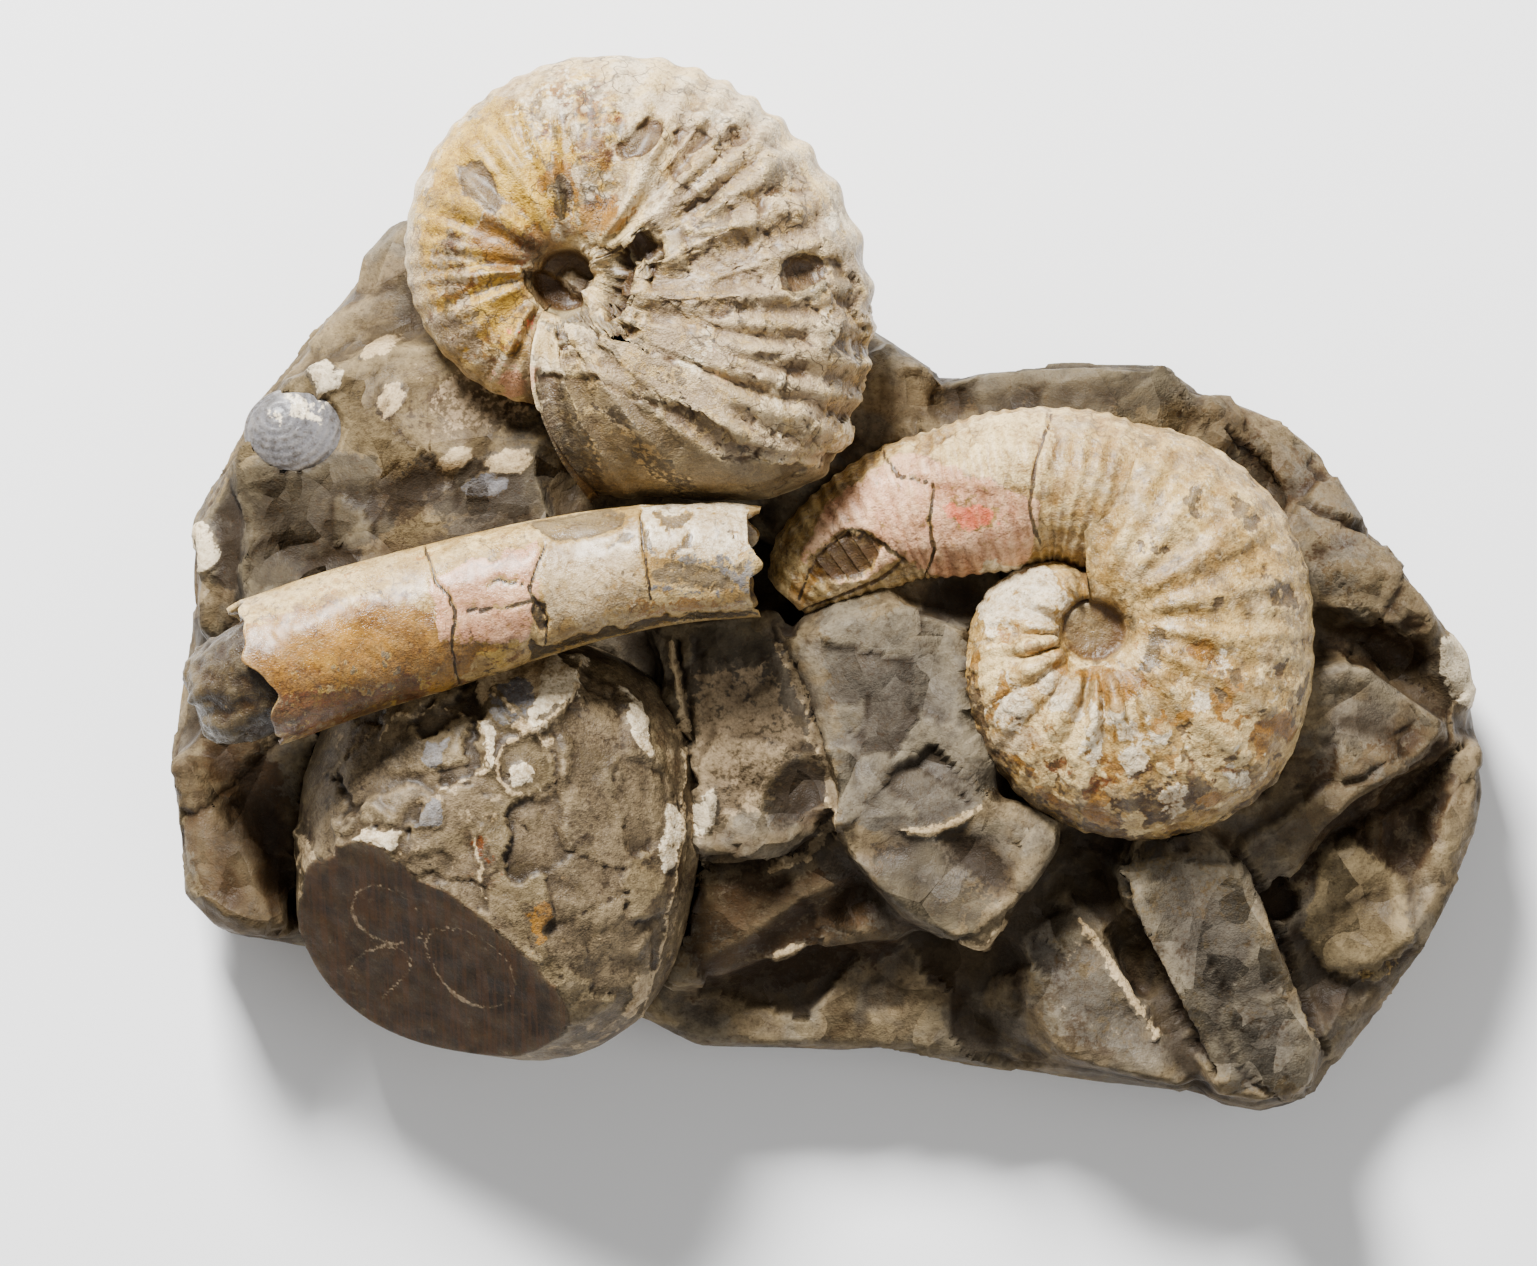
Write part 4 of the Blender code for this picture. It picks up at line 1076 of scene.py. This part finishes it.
CAST_CENTRE = np.array((-26.3, -21.0, 14.4))
CAST_HALF = np.array((16.3, 17.3, 12.6))
CAST_SQUARENESS = 2.6
CAST_TURN = -8.0
SAW_POINT = np.array((-33.2, -28.5, 21.5))
SAW_NORMAL = np.array((-0.42, -0.62, 0.66)) / np.linalg.norm((-0.42, -0.62, 0.66))
SAWN_RINGS = [(-36.4, -28.6, 2.9, 3.2, 20), (-29.6, -32.4, 4.2, 3.4, -20), (-37.6, -33.6, 2.4, 1.6, 10)]
CAST_MARKS = [
    ("olive", 0, 0.9, [(-25.9, -15.6), (-14.7, -14), (-13.1, -23.6), (-16.3, -33.2), (-24.3, -30),
        (-27.5, -23.6)]),
    ("olive", 0, 0.8, [(-35.5, -10.8), (-27.5, -9.2), (-26.7, -14), (-33.9, -14.8)]),
    ("pearl", 0.45, 1, [(-28.2, -8.2), (-25.1, -6.3), (-22.3, -5.7), (-19.5, -6.2), (-20, -9.2),
        (-21.4, -11.8), (-24, -12.2), (-26.2, -11)]),
    ("blue", 0.1, 0.8, oval(-24.9, -9.6, 2, 1.9)),
    ("white", 0.2, 1, [(-21.8, -5.6), (-18.8, -6), (-19.6, -9.4), (-22.7, -12.6), (-23.7, -11.2)]),
    ("blue", 0.35, 0.9, [(-35.1, -14), (-33.1, -12), (-29.9, -12.4), (-30.7, -14.4), (-33.9, -15.6)]),
    ("blue", 0.4, 0.9, [(-36.3, -17.2), (-33.1, -16), (-30.3, -17.2), (-30.7, -19.2), (-33.9, -19.6)]),
    ("white", 0.6, 1, [(-38.9, -18.8), (-35.6, -17.4), (-32.9, -19.1), (-34.1, -21.6), (-37.1, -22.9),
        (-38.8, -21.4)]),
    ("pearl", 0.3, 1, oval(-23.4, -14.6, 2.9, 2.7)),
    ("olive", -0.35, 1, oval(-23.4, -14.6, 2.5, 2.3)),
    ("white", 0.3, 1, oval(-24.2, -15.2, 1.1, 1, 30)),
    ("white", 0.3, 1, [(-27.5, -10.8), (-26.2, -11.6), (-26.5, -14.8), (-27.3, -14)]),
    ("white", 0.3, 1, [(-21.1, -12), (-20, -12.8), (-20.1, -15.6), (-21.1, -16)]),
    ("white", 0.3, 0.9, [(-16.4, -8.4), (-14.2, -9.2), (-14, -14), (-15.3, -12.8)]),
    ("white", 0.3, 0.9, [(-14, -14.8), (-11.8, -16.4), (-11.5, -20.4), (-13.1, -23.6), (-14, -19.6)]),
    ("pearl", 0.3, 0.9, [(-14.7, -28), (-13.4, -27.2), (-14.4, -33.2), (-16.1, -34.8)]),
    ("pearl", 0.3, 0.9, [(-41.9, -19.6), (-40.1, -21.2), (-40.4, -28.4), (-41.7, -30)]),
    ("rust", -0.2, 0.95, oval(-20.2, -27.9, 1.9, 1.3)),
    ("orange", 0, 0.7, oval(-21.1, -26.8, 2.8, 2.2)),
    ("rust", 0, 0.9, oval(-27.3, -22.2, 0.8, 1.9, 10)),
    ("white", 0.1, 0.9, oval(-19.7, -25.8, 0.9, 0.5)),
    ("mud", -0.3, 0.9, oval(-31.5, -22.8, 2.2, 1.2, 20)),
    ("white", 0.15, 0.8, oval(-17.9, -26.2, 0.3, 1.6)),
]
CAST_SHELL_LINES = [
    [(-26.7, -6), (-26.2, -9.2), (-23, -12), (-20.3, -9.6), (-19.5, -6.4)],
    [(-35.5, -12.4), (-34.3, -10.4), (-30.7, -10), (-27.5, -10.8), (-26.7, -14.8), (-30.7, -16.4)],
    [(-27.5, -18.8), (-27.9, -22), (-27.1, -25.2)],
    [(-12, -5), (-10.9, -11.6), (-11.2, -18), (-12.4, -24), (-13, -30), (-14.6, -34)],
]


def even_sphere():
    """Unit directions and faces of a finely divided sphere with no poles."""
    bm = bmesh.new()
    bmesh.ops.create_icosphere(bm, subdivisions=7, radius=1.0)
    directions = np.array([v.co for v in bm.verts])
    faces = [[v.index for v in face.verts] for face in bm.faces]
    bm.free()
    return directions / np.linalg.norm(directions, axis=1)[:, None], faces


def build_cast():
    directions, faces = even_sphere()
    length = (np.abs(directions) ** CAST_SQUARENESS).sum(axis=1) ** (1 / CAST_SQUARENESS)
    local = directions / length[:, None] * CAST_HALF
    c, s = math.cos(math.radians(CAST_TURN)), math.sin(math.radians(CAST_TURN))
    turned = [local[:, 0] * c - local[:, 1] * s, local[:, 0] * s + local[:, 1] * c, local[:, 2]]
    points = CAST_CENTRE + np.stack(turned, axis=1)
    body, faces = shaped(points, faces, 8)
    body.lift(lumps(points, 7.0, 31, 3) * 0.5 + lumps(points, 2.2, 32, 4) * 0.08)
    body.marks(CAST_MARKS)
    body.plates(oval(-25.9, -20.8, 15, 16), 5.5, 0.35, 33, joint=0.035, low="mud")
    for line in CAST_SHELL_LINES:
        body.stroke("pearl", line, 0.22, lift=0.25, strength=0.8, ragged=0.8)
    beyond = (body.points - SAW_POINT) @ SAW_NORMAL
    cut = smooth(beyond, -0.15, 0.15)
    body.points -= SAW_NORMAL * (np.maximum(beyond, 0) - cut * 0.05 * body.ragged)[:, None]
    for tone in body.tones:
        body.tones[tone] = body.tones[tone] * (1 - cut)
    body.tones["brown"] = np.maximum(body.tones.get("brown", 0), cut)
    for x, y, wide, high, turn in SAWN_RINGS:
        ring = oval(x, y, wide, high, turn, 28)
        body.stroke("ash", np.vstack([ring, ring[:1]]), 0.2, strength=0.6, ragged=0.1)
    body.masks["sawn"] = cut
    finish = weathered(
        "cast_mudstone", "mud",
        ["olive", "blue", "white", "pearl", "orange", "rust", "mud", "brown", "ash", "dark"],
        0.55, 0.5, 0.2, 0.1, gloss=0.15, crackle=0.4, wear_and_highlight=0.12, grime_and_shade=(28, 22, 15), sawn=True,
        facets=[(4.0, 1.0, 0.2), (1.4, 0.25, 0)],
        marbling=[("olive", 6.0, 0.5, 0.7), ("brown", 3.5, 0.3, 0.7), ("pearl", 1.6, 0.08, 0.6)])
    return add_piece("mud_cast", body, faces, "cast", finish)


# The clam.

def build_clam():
    low, high = (np.array(corner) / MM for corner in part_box("clam"))
    centre, half = (low + high) / 2, (high - low) / 2 + POCKET_GAP
    columns, rows = 120, 60
    around = np.linspace(0, 2 * math.pi, columns, endpoint=False)
    down = np.linspace(0, math.pi, rows + 1)[1:-1]
    out = np.sin(down)[:, None]
    rings = np.stack([
        centre[0] + out * np.cos(around) * half[0],
        centre[1] + out * np.sin(around) * half[1],
        centre[2] + np.repeat(np.cos(down)[:, None], columns, axis=1) * half[2],
    ], axis=-1)
    points, faces = closed_grid(rings, centre + (0, 0, half[2]), centre - (0, 0, half[2]))
    valve, faces = shaped(points, faces, 9)
    beak = centre[:2] + (-1.4, 1.6)
    growth = np.linalg.norm(points[:, :2] - beak, axis=1)
    valve.lift(0.02 * np.sin(growth * 9.0) + 0.06 * valve.ragged - 0.25)
    valve.points[:, 2] -= 0.5
    finish = weathered("clam_shell", "blue", ["white"], 0.4, 0.5, 0.06, 0.3)
    valve.patch("white", oval(-41.9, 14.4, 2.4, 0.9, 20), strength=0.6)
    return add_piece("clam_valve", valve, faces, "clam", finish)


# The stage.

FLOOR_HALF = 1.2
LIGHT_AIM = (0, 0, 0.015)
WORLD_STRENGTH = 0.32
SENSOR_WIDTH = 36


def build_stage():
    size = FLOOR_HALF
    mesh = bpy.data.meshes.new("floor")
    corners = [(-size, -size, 0), (size, -size, 0), (size, size, 0), (-size, size, 0)]
    mesh.from_pydata(corners, [], [(0, 1, 2, 3)])
    floor = bpy.data.objects.new("floor", mesh)
    bpy.context.scene.collection.objects.link(floor)
    n = Nodes("pale_floor")
    n.give(n.shader.inputs["Base Color"], (0.95, 0.95, 0.95, 1))
    n.give(n.shader.inputs["Roughness"], 0.9)
    mesh.materials.append(n.material)


def add_light(name, place, size, power):
    lamp = bpy.data.lights.new(name, "AREA")
    lamp.size = size
    lamp.energy = power
    light = bpy.data.objects.new(name, lamp)
    light.location = place
    light.rotation_euler = (Vector(LIGHT_AIM) - Vector(place)).to_track_quat("-Z", "Y").to_euler()
    bpy.context.scene.collection.objects.link(light)


def build_light_and_camera():
    world = bpy.data.worlds.new("studio")
    world.use_nodes = True
    world.node_tree.nodes["Background"].inputs["Color"].default_value = (1, 1, 1, 1)
    world.node_tree.nodes["Background"].inputs["Strength"].default_value = WORLD_STRENGTH
    bpy.context.scene.world = world
    add_light("key", (-0.16, 0.44, 0.40), 0.16, 16.0)
    add_light("fill", (0.4, -0.2, 0.5), 0.6, 1.6)
    view = bpy.data.cameras.new("camera")
    view.sensor_width = SENSOR_WIDTH
    view.lens = SENSOR_WIDTH * CAMERA_HEIGHT / PICTURE_WIDTH
    view.clip_start = 0.01
    camera = bpy.data.objects.new("camera", view)
    camera.location = Vector((*CAMERA_MIDDLE, FRONT_LEVEL + CAMERA_HEIGHT)) * MM
    bpy.context.scene.collection.objects.link(camera)
    bpy.context.scene.camera = camera


build_light_and_camera()
build_stage()
PEARLY = weathered(
    "pearl_shell", "tan",
    ["cream", "pink", "pearl", "white", "orange", "red", "rust", "brown", "mud", "olive", "dark"],
    0.45, 0.5, 0.2, 0.15, crackle=0.45, grime_and_shade=(70, 52, 32), facets=[(2.8, 0.4, 0.25), (1.0, 0.14, 0)],
    marbling=[("cream", 5.0, 0.4, 0.6), ("olive", 2.4, 0.3, 0.5), ("pearl", 3.0, 0.3, 0.6),
              ("mud", 1.2, 0.15, 0.6), ("white", 0.9, 0.12, 0.5), ("orange", 2.6, 0.35, 0.8, "stained"),
              ("brown", 1.8, 0.3, 0.8, "stained"), ("rust", 1.0, 0.1, 0.7, "stained")])
build_rock()
build_upper()
build_lower()
build_shaft()
build_baculite()
build_cast()
build_clam()
